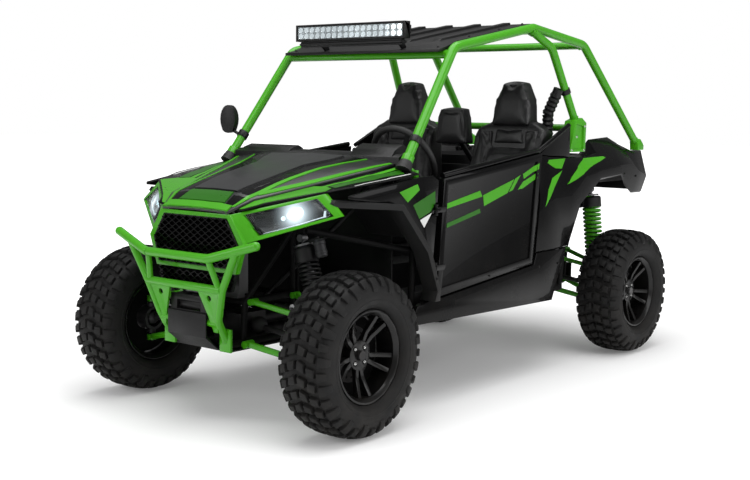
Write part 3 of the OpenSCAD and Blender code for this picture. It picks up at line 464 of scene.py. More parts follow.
def softened(name, round_mm, mat, segments=2, angle=32):
    piece = from_bmesh(name + "_fine", merged_copy(name))
    bevel = piece.modifiers.new("round", "BEVEL")
    bevel.width, bevel.segments, bevel.limit_method = round_mm / 1000, segments, "ANGLE"
    bevel.angle_limit, bevel.harden_normals = radians(angle), False
    settle(piece)
    smooth(piece, 40)
    return keep(piece, body_of(name), mat, (name,))

def tree_of(name, sockets):
    tree = bpy.data.node_groups.new(name, "GeometryNodeTree")
    for label, kind in sockets:
        tree.interface.new_socket(label, in_out="INPUT", socket_type=kind)
    tree.interface.new_socket("Geometry", in_out="OUTPUT", socket_type="NodeSocketGeometry")
    return tree, tree.nodes.new("NodeGroupInput"), tree.nodes.new("NodeGroupOutput")

def close_tree(tree, start, end, instances):
    real = tree.nodes.new("GeometryNodeRealizeInstances")
    coat = tree.nodes.new("GeometryNodeSetMaterial")
    link(tree, instances, real.inputs[0])
    link(tree, real.outputs[0], coat.inputs["Geometry"])
    link(tree, start.outputs["Finish"], coat.inputs["Material"])
    link(tree, coat.outputs[0], end.inputs["Geometry"])
    return tree

def ring_tree():
    sockets = [("Geometry", "NodeSocketGeometry"), ("Count", "NodeSocketInt"),
               ("Finish", "NodeSocketMaterial")]
    tree, start, end = tree_of("ring_of_copies", sockets)
    points = tree.nodes.new("GeometryNodePoints")
    copies = tree.nodes.new("GeometryNodeInstanceOnPoints")
    turn = tree.nodes.new("FunctionNodeAxisAngleToRotation")
    turn.inputs["Axis"].default_value = (1, 0, 0)
    index = tree.nodes.new("GeometryNodeInputIndex")
    step = math_node(tree, "DIVIDE", 2 * pi, start.outputs["Count"])
    link(tree, math_node(tree, "MULTIPLY", index.outputs[0], step), turn.inputs["Angle"])
    link(tree, start.outputs["Count"], points.inputs["Count"])
    link(tree, points.outputs[0], copies.inputs["Points"])
    link(tree, start.outputs["Geometry"], copies.inputs["Instance"])
    link(tree, turn.outputs[0], copies.inputs["Rotation"])
    return close_tree(tree, start, end, copies.outputs[0])

def placed_tree():
    sockets = [("Geometry", "NodeSocketGeometry"), ("Part", "NodeSocketObject"),
               ("Finish", "NodeSocketMaterial")]
    tree, start, end = tree_of("copies_at_points", sockets)
    copies = tree.nodes.new("GeometryNodeInstanceOnPoints")
    part = tree.nodes.new("GeometryNodeObjectInfo")
    turn = tree.nodes.new("FunctionNodeAlignRotationToVector")
    way = tree.nodes.new("GeometryNodeInputNamedAttribute")
    way.data_type = "FLOAT_VECTOR"
    way.inputs["Name"].default_value = "way"
    link(tree, start.outputs["Part"], part.inputs["Object"])
    link(tree, way.outputs["Attribute"], turn.inputs["Vector"])
    link(tree, start.outputs["Geometry"], copies.inputs["Points"])
    link(tree, part.outputs["Geometry"], copies.inputs["Instance"])
    link(tree, turn.outputs[0], copies.inputs["Rotation"])
    return close_tree(tree, start, end, copies.outputs[0])

RING, PLACED = ring_tree(), placed_tree()

def socket_id(tree, label):
    return next(s.identifier for s in tree.interface.items_tree if s.name == label and s.in_out == "INPUT")

def grow(piece, tree, **values):
    step = piece.modifiers.new("copies", "NODES")
    step.node_group = tree
    for label, value in values.items():
        step[socket_id(tree, label)] = value
    return settle(piece)

def copies(name, part, spots, mat):
    holder = mesh_object(name, [p for p, way in spots], [])
    ways = holder.data.attributes.new("way", "FLOAT_VECTOR", "POINT")
    ways.data.foreach_set("vector", [c for p, way in spots for c in Vector(way).normalized()])
    grow(holder, PLACED, Part=part, Finish=mat)
    bpy.data.objects.remove(part)
    smooth(holder)
    return holder

def mirrored(bm):
    bm.transform(Matrix.Scale(-1, 4, (1, 0, 0)))
    bmesh.ops.reverse_faces(bm, faces=bm.faces)

def wall(bm, low, high):
    count = len(low)
    for i in range(count):
        bm.faces.new((low[i], low[(i + 1) % count], high[(i + 1) % count], high[i]))

def lathe(name, rings, sides=24, axis="Z"):
    bm = bmesh.new()
    angles = [2 * pi * i / sides for i in range(sides)]
    rows = []
    for r, h in rings:
        rows.append([bm.verts.new((r * cos(a), r * sin(a), h)) for a in angles])
    for low, high in zip(rows, rows[1:]):
        wall(bm, low, high)
    for row, flip in ((rows[0], True), (rows[-1], False)):
        bm.faces.new(row[::-1] if flip else row)
    bmesh.ops.remove_doubles(bm, verts=bm.verts, dist=1e-6)
    bmesh.ops.recalc_face_normals(bm, faces=bm.faces)
    if axis == "X":
        bm.transform(Matrix.Rotation(pi / 2, 4, "Y"))
    return from_bmesh(name, bm)

def mix(a, b, t):
    return a + (b - a) * t

print("trees", RING.name, PLACED.name)

# %% [markdown]
# The tyres carry the look of the machine: chunky blocks in three rows a side, the shoulder blocks
# wrapping down onto a smooth wall. The section is drawn once as a curve, the carcass is that curve
# turned about the axle, and one pitch of blocks is built on it and repeated by the ring tree. The
# blocks of the two halves stand half a pitch apart, as the CAD lugs do, and lean like a V.

# %% Tyres
WHEELS = ("fl", "fr", "rl", "rr")
# the section from the middle of the tread round to the bead, as (mm from the middle, radius in mm)
WALL = [(0, 324), (45, 323), (78, 319), (98, 311), (111, 299), (119, 284), (123.5, 266), (125, 250),
        (123.5, 234), (119, 220), (110, 209), (102, 203), (97, 199.5), (88, 197.5), (85.6, 195), (85.6, 180)]

def section(steps=6):
    pts = [Vector(p) for p in WALL]
    line = []
    for i in range(len(pts) - 1):
        p0, p1, p2, p3 = (pts[max(0, min(len(pts) - 1, i + k))] for k in (-1, 0, 1, 2))
        for k in range(steps if i < 11 else 1):
            t = k / steps
            line.append(0.5 * (2 * p1 + (p2 - p0) * t + (2 * p0 - 5 * p1 + 4 * p2 - p3) * t * t
                               + (3 * p1 - p0 - 3 * p2 + p3) * t ** 3))
    return line + [pts[-1]]

LINE = section()
ALONG = [0.0]
for a, b in zip(LINE, LINE[1:]):
    ALONG.append(ALONG[-1] + (b - a).length)

def on_section(s):
    side, s = (1 if s >= 0 else -1), abs(s)
    i = max(k for k in range(len(LINE) - 1) if ALONG[k] <= s)
    t = (s - ALONG[i]) / (ALONG[i + 1] - ALONG[i])
    tangent = (LINE[i + 1] - LINE[i]).normalized()
    point = mix(LINE[i], LINE[i + 1], t)
    return Vector((side * point.x, point.y)), Vector((side * -tangent.y, tangent.x))

def on_wheel(p, angle):
    return Vector((p.x, p.y * sin(angle), -p.y * cos(angle))) / 1000

def block(bm, corners, tall, rows, pitch, side, shift):
    grid = {}
    s_mid = sum(c[0] for c in corners) / 4
    a_mid = sum(c[1] for c in corners) / 4
    for i in range(rows + 1):
        for j in range(3):
            inner = mix(Vector(corners[0]), Vector(corners[1]), j / 2)
            outer = mix(Vector(corners[3]), Vector(corners[2]), j / 2)
            s, a = mix(inner, outer, i / rows)
            for high in (0, 1):
                shrink = 0.9 if high else 1.04
                p, n = on_section(side * (s_mid + (s - s_mid) * shrink))
                h = mix(tall[0], tall[1], i / rows) if high else -4
                angle = (a_mid + (a - a_mid) * shrink + shift) * pitch
                grid[i, j, high] = bm.verts.new(on_wheel(p + Vector((n.x, n.y)) * h, angle))
    quads = []
    for i in range(rows):
        for j in range(2):
            quads.append([(i, j, 1), (i, j + 1, 1), (i + 1, j + 1, 1), (i + 1, j, 1)])
        for j in (0, 2):
            quads.append([(i, j, 0), (i, j, 1), (i + 1, j, 1), (i + 1, j, 0)])
    for j in range(2):
        for i in (0, rows):
            quads.append([(i, j, 0), (i, j + 1, 0), (i, j + 1, 1), (i, j, 1)])
    for quad in quads:
        bm.faces.new([grid[k] for k in quad])

# inner start, inner end, outer end, outer start as (mm from the middle, share of a pitch), heights, rows
BLOCKS = [
    ([(5, 0.03), (5, 0.33), (40, 0.40), (46, 0.13)], (18, 18), 2),
    ([(8, 0.50), (3, 0.82), (46, 0.92), (40, 0.62)], (18, 18), 2),
    ([(55, 0.20), (50, 0.48), (84, 0.56), (86, 0.25)], (18, 16), 2),
    ([(50, 0.70), (54, 0.99), (86, 1.05), (84, 0.76)], (18, 16), 2),
    ([(93, 0.32), (91, 0.70), (150, 0.67), (150, 0.38)], (16, 5), 4),
    ([(91, 0.86), (93, 1.16), (128, 1.15), (128, 0.89)], (16, 9), 3),
]

def tread(lugs):
    bm = bmesh.new()
    for corners, tall, rows in BLOCKS:
        for side, shift in ((1, 0.0), (-1, 0.5)):
            block(bm, corners, tall, rows, 2 * pi / lugs, side, shift)
    bmesh.ops.recalc_face_normals(bm, faces=bm.faces)
    sharp = [e for e in bm.edges if len(e.link_faces) == 2 and e.calc_face_angle() > radians(38)]
    bmesh.ops.bevel(bm, geom=sharp, offset=0.0028, segments=2, profile=0.6, affect="EDGES")
    piece = from_bmesh("tread", bm)
    return grow(piece, RING, Count=lugs, Finish=rubber)

def carcass(sides=136):
    bm = bmesh.new()
    full = [Vector((-p.x, p.y)) for p in LINE[:0:-1]] + LINE
    rows = []
    for p in full:
        s = abs(p.y - 237)
        ridge = 1.6 if s < 2.0 else 0
        edge = p + Vector((math.copysign(ridge, p.x), 0))
        rows.append([bm.verts.new(on_wheel(edge, 2 * pi * i / sides)) for i in range(sides)])
    inner = [[bm.verts.new(on_wheel(Vector((x, r)), 2 * pi * i / sides)) for i in range(sides)]
             for x, r in ((85, 179.4), (-85, 179.4))]
    rows += inner
    for k, low in enumerate(rows):
        wall(bm, low, rows[(k + 1) % len(rows)])
    bmesh.ops.recalc_face_normals(bm, faces=bm.faces)
    return from_bmesh("carcass", bm)

def one_tyre():
    ground, cover = carcass(), tread(17)
    bm = bmesh.new()
    bm.from_mesh(ground.data)
    bm.from_mesh(cover.data)
    for piece in (ground, cover):
        bpy.data.objects.remove(piece)
    return from_bmesh("tyre_master", bm)

def centre_of(node):
    low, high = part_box(node)
    return (low + high) / 2

def at_wheels(master, label, mat, stands=None):
    for corner in WHEELS:
        bm = bmesh.new()
        bm.from_mesh(master.data)
        if corner.endswith("r"):
            mirrored(bm)
        bm.transform(Matrix.Translation(centre_of("rim_" + corner)))
        piece = from_bmesh(label + "_" + corner, bm)
        smooth(piece, 38)
        keep(piece, "wheel_" + corner, mat, (stands + "_" + corner,) if stands else ())
    bpy.data.objects.remove(master)

at_wheels(one_tyre(), "tread_tyre", rubber, "tyre")

# %% [markdown]
# The rims are deep black castings with five pairs of spokes. The CAD solid already has them, so it
# is softened rather than drawn again, and its bore is opened by a hair to clear the hub. Four bright
# nuts and a turned cap finish each wheel; the nuts are one mesh repeated by the ring tree.

# %% Rims, nuts and caps
BORE_REACH, BORE_EASE = 0.025, 0.001
NUT = [(0.0085, 0.029), (0.0088, 0.041), (0.0070, 0.046), (0.0045, 0.0465), (0.0042, 0.050), (0.001, 0.051)]
CAP = [(0.0192, 0.034), (0.0192, 0.047), (0.0165, 0.0505), (0.012, 0.051), (0.011, 0.049), (0.001, 0.049)]
for corner in WHEELS:
    rim = softened("rim_" + corner, 2.2, rim_paint, 2, 28)
    middle = centre_of("rim_" + corner)
    for vert in rim.data.vertices:
        out = Vector((0, vert.co.y - middle.y, vert.co.z - middle.z))
        if out.length < BORE_REACH:
            vert.co += out.normalized() * BORE_EASE

def wheel_nuts():
    nut = lathe("nut", NUT, 6, "X")
    nut.data.transform(Matrix.Translation((0, 0.0297, 0.0297)))
    return grow(nut, RING, Count=4, Finish=bright_zinc)

at_wheels(wheel_nuts(), "wheel_nuts", bright_zinc)
at_wheels(lathe("hub_cap", CAP, 32, "X"), "hub_cap", black_plastic)

# %% [markdown]
# The body panels are moulded in colour and carry stripes and raised covers. Each of these is a flat
# outline that is cut into small cells, dropped onto the CAD panel below it, and given a little
# thickness. So a stripe follows every bend of its panel, and its edge is a true edge.

# %% Stripe tool
AXES = {"x": (1, 2, 0), "y": (0, 2, 1), "z": (0, 1, 2)}
# a ray starts well outside the model, and one that misses settles near the plane of the side panels
RAY_START, PANEL_PLANE = 3.0, 0.64

def host_tree(names):
    bm = bmesh.new()
    for name in names:
        bm.from_mesh(nodes[name].data)
    tree = BVHTree.FromBMesh(bm)
    bm.free()
    return tree

def cut_outline(outline, axis, cell):
    u, v, w = AXES[axis]
    bm = bmesh.new()
    verts = []
    for p in outline:
        co = [0.0, 0.0, 0.0]
        co[u], co[v] = p[0] / 1000, p[1] / 1000
        verts.append(bm.verts.new(co))
    bm.faces.new(verts)
    for k in (u, v):
        low, high = min(x.co[k] for x in bm.verts), max(x.co[k] for x in bm.verts)
        for i in range(1, int((high - low) / cell) + 1):
            spot, way = [0, 0, 0], [0, 0, 0]
            spot[k], way[k] = low + i * cell, 1
            every = bm.verts[:] + bm.edges[:] + bm.faces[:]
            bmesh.ops.bisect_plane(bm, geom=every, plane_co=spot, plane_no=way)
    return bm, w

def drop(bm, w, tree, side):
    for vert in bm.verts:
        start, way = vert.co.copy(), Vector((0, 0, 0))
        start[w], way[w] = RAY_START * side, -side
        hit = tree.ray_cast(start, way)[0]
        if hit is None:
            start[w] = PANEL_PLANE * side
            hit = tree.find_nearest(start)[0]
        vert.co = hit

def thicken(bm, thick, w, side, sink=0.0006):
    bm.normal_update()
    bmesh.ops.recalc_face_normals(bm, faces=bm.faces)
    bm.normal_update()
    if sum(f.normal[w] * f.calc_area() for f in bm.faces) * side < 0:
        bmesh.ops.reverse_faces(bm, faces=bm.faces)
        bm.normal_update()
    lift = {vert: vert.normal.copy() for vert in bm.verts}
    base = list(bm.verts)
    made = bmesh.ops.extrude_face_region(bm, geom=bm.faces[:], use_keep_orig=True)
    tops = [g for g in made["geom"] if isinstance(g, bmesh.types.BMVert)]
    near = {tuple(round(c, 6) for c in vert.co): vert for vert in base}
    for vert in tops:
        vert.co += lift[near[tuple(round(c, 6) for c in vert.co)]] * thick
    for vert in base:
        vert.co -= lift[vert] * sink
    bmesh.ops.recalc_face_normals(bm, faces=bm.faces)

def stripe(name, outline, axis, hosts, mat, body="chassis", thick=0.8, cell=0.03, sides=(1, -1)):
    tree = host_tree(hosts)
    for side in sides:
        u = AXES[axis][0]
        flip = side if u == 0 else 1
        bm, w = cut_outline([(p[0] * flip, p[1]) for p in outline], axis, cell)
        facing = {"x": side, "y": -1, "z": 1}[axis]
        drop(bm, w, tree, facing)
        thicken(bm, thick / 1000, w, facing)
        if thick >= 2:
            rim = [e for e in bm.edges if len(e.link_faces) == 2 and e.calc_face_angle() > radians(50)]
            bmesh.ops.bevel(bm, geom=rim, offset=thick * 0.0003, segments=2, affect="EDGES")
        label = name if len(sides) == 1 else name + ("_left" if side > 0 else "_right")
        piece = from_bmesh(label, bm)
        smooth(piece, 30)
        keep(piece, body if isinstance(body, str) else body[0 if side > 0 else 1], mat)

# %% [markdown]
# The bonnet: a raised satin centre with a green front field, a black valley on each side of it, and
# two bright lines that sweep from the lamps to the feet of the cage. On the wings the lines become
# a broad dark-green band with a thin white edge.

# %% Bonnet and wing colours
def ribbon(line, width_in, width_out):
    left = [(x - width_in * s, y) for (x, y), s in zip(line, (0.5, 1, 1, 0.9, 0.8, 0.6, 0.5))]
    right = [(x + width_out * s, y) for (x, y), s in zip(line, (0.6, 1, 1, 0.9, 0.8, 0.6, 0.4))]
    return left + right[::-1]

INNER = [(196, -1396), (222, -1322), (227, -1214), (233, -1083), (256, -918), (300, -810), (352, -716)]
OUTER = [(242, -1290), (262, -1240), (322, -1105), (368, -978), (408, -870), (444, -780), (484, -702)]
CENTRE = [(-132, -1306), (132, -1306), (150, -1150), (152, -905), (205, -800), (228, -722), (-228, -722),
          (-205, -800), (-152, -905), (-150, -1150)]
FIELD = [(-128, -1318), (-142, -1386), (142, -1386), (128, -1318)]
VALLEY = [(150, -1396), (196, -1396), (210, -1322), (216, -1214), (222, -1083), (245, -918), (288, -810),
          (338, -716), (236, -716), (212, -800), (160, -905), (158, -1150), (140, -1306)]

LIP = [(-199, -1427), (199, -1427), (194, -1390), (-194, -1390)]
FRONT = [(-197, 905), (197, 905), (195, 913), (0, 918), (-195, 913)]
# the flares draw in over their last stretch before the front tip, m
FLARE_DRAW, FLARE_FROM, FLARE_LENGTH = 0.17, -0.99, 0.18

softened("hood", 3.0, satin_hood, 2, 8)
softened("front_fenders", 3.0, gloss_black, 2, 12)
flares = softened("front_flares", 6.0, charcoal, 3)
for vert in flares.data.vertices:
    vert.co.x *= 1 - FLARE_DRAW * min(1, max(0, (FLARE_FROM - vert.co.y) / FLARE_LENGTH))
stripe("hood_lip", LIP, "z", ["hood"], green_panel, thick=6, sides=(1,))
stripe("hood_front", FRONT, "y", ["hood"], green_panel, thick=2, sides=(1,))
stripe("hood_centre", CENTRE, "z", ["hood"], satin_hood, thick=7, sides=(1,))
stripe("hood_field", FIELD, "z", ["hood"], green_dark, thick=5, sides=(1,))
stripe("hood_valley", VALLEY, "z", ["hood"], gloss_black)
stripe("hood_line", ribbon(INNER, 9, 17), "z", ["hood"], green_decal, thick=3)
stripe("hood_edge", ribbon(OUTER, 22, 14), "z", ["hood", "front_fenders"], green_decal, thick=3)
WING_FRONT = [(228, -1388), (262, -1316), (322, -1164), (356, -1070), (420, -1066), (478, -1096),
              (512, -1172), (420, -1242), (318, -1322), (252, -1386)]
stripe("wing_front", WING_FRONT, "z", ["front_fenders"], green_panel, thick=2)
WING_DARK = [(436, -1060), (486, -1080), (545, -900), (586, -740), (540, -720), (500, -830)]
WING_LINE = [(398, -1062), (426, -1062), (494, -830), (532, -712), (512, -706), (474, -830)]
WING_WHITE = [(556, -1040), (566, -1050), (606, -820), (616, -730), (606, -728), (594, -830)]
stripe("wing_band", WING_DARK, "z", ["front_fenders"], green_dark)
stripe("wing_line", WING_LINE, "z", ["front_fenders"], green_decal)
white_film = finish("white_decal_film", (0.72, 0.73, 0.72), 0.35, (260, 0.03), 0.05, coat=0.3, coat_rough=0.1)
stripe("wing_edge", WING_WHITE, "z", ["front_fenders"], white_film)
SIDE_PATCH = [(-842, 990), (-716, 1020), (-700, 994), (-784, 944)]
SIDE_GREEN = [(-745, 930), (-586, 984), (-582, 905), (-700, 868)]
SIDE_WHITE = [(-694, 862), (-610, 888), (-664, 826)]
stripe("wing_patch", SIDE_PATCH, "x", ["front_fenders"], green_decal)
stripe("wing_flash", SIDE_GREEN, "x", ["front_fenders"], green_dark)
stripe("wing_chip", SIDE_WHITE, "x", ["front_fenders"], white_film)

# %% [markdown]
# The doors are gloss black with a raised border. Two slanted green stripes cross the sunk field and
# break into darts towards the rear, where the panel behind the door takes them up again.

# %% Door and rear colours
DOORS = ("door_left", "door_right")
for name in DOORS:
    softened(name, 5.0, gloss_black)
softened("sills", 8.0, gloss_black)
softened("rear_panels", 4.0, gloss_black, 2, 20)
DOOR_STRIPES = {
    "thin": [(-486, 899), (-486, 922), (-222, 968), (-202, 940)],
    "band": [(-196, 945), (-186, 894), (14, 946), (70, 1010)],
    "dart_a": [(26, 950), (60, 958), (128, 1028), (82, 1014)],
    "dart_b": [(158, 1008), (150, 1032), (286, 1082), (282, 1054)],
    "dart_c": [(106, 958), (150, 994), (278, 1034), (272, 1006), (150, 962)],
    "lower": [(-484, 812), (-484, 832), (-222, 884), (-214, 864)],
}
for label, outline in DOOR_STRIPES.items():
    mat = green_dark if label == "lower" else green_decal
    stripe("door_" + label, outline, "x", DOORS, mat, body=DOORS)
REAR_STRIPES = {"point": [(405, 1078), (420, 1094), (590, 1096), (528, 1046), (474, 1050)],
                "tail": [(436, 1000), (528, 1036), (356, 860), (388, 944)],
                "slash": [(562, 964), (690, 1054), (780, 1092), (985, 1098), (1004, 1090), (800, 1046),
                          (640, 984)]}
for label, outline in REAR_STRIPES.items():
    stripe("rear_" + label, outline, "x", ["rear_panels"], green_decal, thick=1.8, cell=0.018)
print("door and rear stripes", len(DOOR_STRIPES) * 2 + len(REAR_STRIPES) * 2)

# %% [markdown]
# Headlamps: a dark bucket set into the green surround, a row of three lit reflectors of falling
# size, a thin light line along its lower edge, and a clear cover flush with the surround. The bucket
# is built from the four corners of the opening, so it fits the slanted face exactly; light comes
# from emission on the lamp's own pieces and never from a hidden lamp. The soft glow on the bucket
# and the cover round the biggest reflector, and the halo of the reflector bowls, are painted glow.

# %% Headlamps
def glowing(name, colour, strength, rough=0.3, edge=0.6):
    mat = finish(name, colour, rough, (300, 0.02), 0.05)
    bsdf = mat.node_tree.nodes["Principled BSDF"]
    bsdf.inputs["Emission Strength"].default_value = strength
    patch = mat.node_tree.nodes.new("ShaderNodeMix")
    patch.data_type = "RGBA"
    patch.inputs["A"].default_value = (*[c * edge for c in colour], 1)
    patch.inputs["B"].default_value = (*colour, 1)
    grained = next(n for n in mat.node_tree.nodes if n.type == "GROUP")
    link(mat.node_tree, grained.outputs["Patches"], patch.inputs["Factor"])
    link(mat.node_tree, patch.outputs["Result"], bsdf.inputs["Emission Color"])
    return mat

def clear(name, colour, rough=0.03):
    mat = finish(name, colour, rough, (90, 0.015), 0.015)
    bsdf = mat.node_tree.nodes["Principled BSDF"]
    bsdf.inputs["Transmission Weight"].default_value = 1.0
    bsdf.inputs["IOR"].default_value = 1.2
    return mat

# Painted glow: the material emits in a soft patch round one spot, a pool of lamp light painted on it.
def painted_glow_near(mat, spot, reach, strength):
    tree = mat.node_tree
    bsdf = tree.nodes["Principled BSDF"]
    place = tree.nodes.new("ShaderNodeTexCoord")
    folded = tree.nodes.new("ShaderNodeVectorMath")
    folded.operation = "ABSOLUTE"
    link(tree, place.outputs["Object"], folded.inputs[0])
    apart = tree.nodes.new("ShaderNodeVectorMath")
    apart.operation = "DISTANCE"
    apart.inputs[1].default_value = [abs(c) for c in spot]
    link(tree, folded.outputs["Vector"], apart.inputs[0])
    near = span(tree, apart.outputs["Value"], reach, 0.0)
    glow = tree.nodes.new("ShaderNodeMix")
    glow.data_type = "RGBA"
    glow.inputs["A"].default_value, glow.inputs["B"].default_value = (0, 0, 0, 1), (0.80, 0.93, 1.0, 1)
    link(tree, math_node(tree, "POWER", near, 2.6), glow.inputs["Factor"])
    link(tree, glow.outputs["Result"], bsdf.inputs["Emission Color"])
    bsdf.inputs["Emission Strength"].default_value = strength

led_white = glowing("led_white", (0.93, 0.98, 1.0), 7.0)
# Painted halo on the headlamp's reflector bowls; the light bar's chips glow with it too.
led_soft = glowing("led_halo", (0.62, 0.80, 0.86), 1.1)
led_line = glowing("led_line", (0.75, 0.85, 0.9), 0.5)
mirror_bowl = finish("vapour_chrome", (0.86, 0.88, 0.90), 0.08, (200, 0.02), 0.03, metal=1.0)
lamp_black = finish("lamp_bucket", (0.006, 0.0065, 0.007), 0.22, (400, 0.06), 0.05)
clear_cover = clear("clear_cover", (0.86, 0.90, 0.91))
red_cover = clear("red_cover", (0.85, 0.02, 0.015), 0.06)

OPENING = ((206, -1420, 902), (518, -1180, 994), (616, -1188, 908), (284, -1404, 788))
CORNERS = [Vector(p) / 1000 for p in OPENING]

def on_lamp(u, v, depth):
    a, b, c, d = CORNERS
    point = mix(mix(a, b, u), mix(d, c, u), v)
    inward = (b - a).cross(d - a).normalized()
    return point + (inward if inward.y > 0 else -inward) * depth

def loops_mesh(name, loops, cap=True, close=False):
    bm = bmesh.new()
    rows = [[bm.verts.new(p) for p in loop] for loop in loops]
    for low, high in zip(rows, rows[1:]):
        wall(bm, low, high)
    if cap:
        bm.faces.new(rows[-1])
    if close:
        bm.faces.new(rows[0][::-1])
    bmesh.ops.recalc_face_normals(bm, faces=bm.faces)
    return from_bmesh(name, bm)

LAMP = [(0.13, 0.10), (0.60, 0.09), (0.90, 0.10), (0.93, 0.50), (0.91, 0.86), (0.60, 0.88), (0.20, 0.86),
        (0.13, 0.50)]

def lamp_loop(scale, depth):
    mid = (0.53, 0.48)
    return [on_lamp(mid[0] + (u - mid[0]) * scale, mid[1] + (v - mid[1]) * scale, depth) for u, v in LAMP]

def both_sides(piece, label, mat, stands=(), body="chassis", angle=35):
    for side in (1, -1):
        bm = bmesh.new()
        bm.from_mesh(piece.data)
        if side < 0:
            mirrored(bm)
        copy = from_bmesh(label + ("_left" if side > 0 else "_right"), bm)
        smooth(copy, angle)
        keep(copy, body, mat, stands if side > 0 else ())
    bpy.data.objects.remove(piece)

def reflector(u, v):
    middle = on_lamp(u, v, 0.03)
    forward = on_lamp(u, v, 0) - middle
    turn = forward.to_track_quat("Z", "Y").to_matrix().to_4x4()
    return Matrix.Translation(middle) @ turn

# Painted glow on the dark bucket and the clear cover round the biggest reflector.
painted_glow_near(lamp_black, on_lamp(0.60, 0.44, 0.03), 0.12, 1.8)
painted_glow_near(clear_cover, on_lamp(0.60, 0.44, 0.0), 0.09, 0.7)
softened("nose", 4.0, green_panel, 3, 25)
BUCKET = ((1.0, 0.006), (0.97, 0.014), (0.88, 0.034), (0.5, 0.046))
bucket = loops_mesh("bucket", [lamp_loop(scale, depth) for scale, depth in BUCKET])
bucket.data.flip_normals()
shell = bucket.modifiers.new("wall", "SOLIDIFY")
shell.thickness, shell.offset = 0.002, -1
settle(bucket)
both_sides(bucket, "lamp_bucket", lamp_black)
BOWL = [(0.030, 0.018), (0.031, 0.019), (0.029, 0.016), (0.022, 0.006), (0.012, 0.001), (0.010, 0.0)]
CHIP = [(0.013, 0.002), (0.013, 0.004), (0.010, 0.008), (0.002, 0.009)]
# place across the opening, place down it, and size
REFLECTORS = [(0.64, 0.43, 0.74), (0.555, 0.46, 0.52), (0.47, 0.49, 0.3)]
for label, rings, mat in (("bowl", BOWL, led_soft), ("chip", CHIP, led_white)):
    bm = bmesh.new()
    for u, v, size in REFLECTORS:
        part = lathe("part", [(r * size, h * size) for r, h in rings], 28)
        part.data.transform(reflector(u, v))
        bm.from_mesh(part.data)
        bpy.data.objects.remove(part)
    both_sides(from_bmesh("lamp", bm), "lamp_" + label, mat)
LIGHT_LINE = [(0.20, 0.80), (0.40, 0.81), (0.60, 0.81), (0.84, 0.79), (0.88, 0.6),
              (0.90, 0.6), (0.86, 0.82), (0.60, 0.845), (0.40, 0.845), (0.19, 0.83)]
line_back = [on_lamp(u, v, 0.022) for u, v in LIGHT_LINE]
line_front = [p + Vector((0.001, -0.003, 0.0)) for p in line_back]
lamp_line = loops_mesh("line", [line_back, line_front], True, True)
both_sides(lamp_line, "lamp_line", led_line)
COVER = ((0.992, 0.0052), (0.992, 0.0025), (0.97, 0.0012), (0.6, -0.0012))
cover = loops_mesh("cover", [lamp_loop(scale, depth) for scale, depth in COVER], True, True)
both_sides(cover, "lamp_cover", clear_cover, ("headlights",), angle=30)

# %% [markdown]
# The light bar is an extruded case with cooling fins behind and two rows of small bowls in front.
# One bowl with its chip is modelled; the points tree repeats it on a grid of spots. The same tree
# repeats one fin along the back.

# %% Light bar
softened("light_bar", 3.0, black_steel, 3)
cups = []
for i in range(18):
    for k in range(2):
        cups.append(((-0.3094 + i * 0.0364, -0.4300, 1.6935 + k * 0.0290), (0, -1, 0)))
BAR_BOWL = [(0.0140, 0.0045), (0.0143, 0.0050), (0.0136, 0.0046), (0.0110, 0.0018), (0.0060, 0.0006),
            (0.0040, 0.0005)]
bowl = lathe("bowl", BAR_BOWL, 20)
keep(copies("bar_bowls", bowl, cups, mirror_bowl), "chassis", mirror_bowl)
chip = lathe("chip", [(0.0048, 0.0008), (0.0048, 0.0020), (0.0034, 0.0036), (0.0006, 0.0040)], 12)
keep(copies("bar_chips", chip, cups, led_soft), "chassis", led_soft)

def box_mesh(name, low, high, round_mm=0.0, segments=2):
    bm = bmesh.new()
    bmesh.ops.create_cube(bm, size=1.0)
    for vert in bm.verts:
        for k in range(3):
            vert.co[k] = (low[k] if vert.co[k] < 0 else high[k]) / 1000
    if round_mm:
        bmesh.ops.bevel(bm, geom=bm.edges[:], offset=round_mm / 1000, segments=segments, affect="EDGES")
    return from_bmesh(name, bm)

bar_pane = box_mesh("bar_pane", (-327.4, -437.4, 1678.6), (327.4, -434.6, 1737.4), 1.0)
smooth(bar_pane)
keep(bar_pane, "chassis", clear_cover)
# Painted reflection: the plate behind the bowls glows faintly, for the bright band the reflectors give.
bar_plate = box_mesh("bar_plate", (-327, -434.2, 1679), (327, -433.0, 1737), 0.4)
led_plate = glowing("led_plate", (0.30, 0.31, 0.32), 0.35)
keep(bar_plate, "chassis", led_plate)
bar_lip = box_mesh("bar_lip", (-326, -436, 1640), (326, -392, 1667), 9, 3)
smooth(bar_lip)
keep(bar_lip, "chassis", black_plastic)
fin = box_mesh("fin", (-1.6, -32, -0.5), (1.6, 32, 10), 0.6)
spots = [((-0.330 + 0.0132 * i, -0.3962, 1.708), (0, 1, 0)) for i in range(51)]
fins = copies("bar_fins", fin, spots, black_steel)
keep(fins, "chassis", black_steel)
print("bowls", len(cups), "fins", len(spots))

# %% [markdown]
# Tail lamps: a red moulded cover over a dark tray with a grid of red cells, one tray a side.

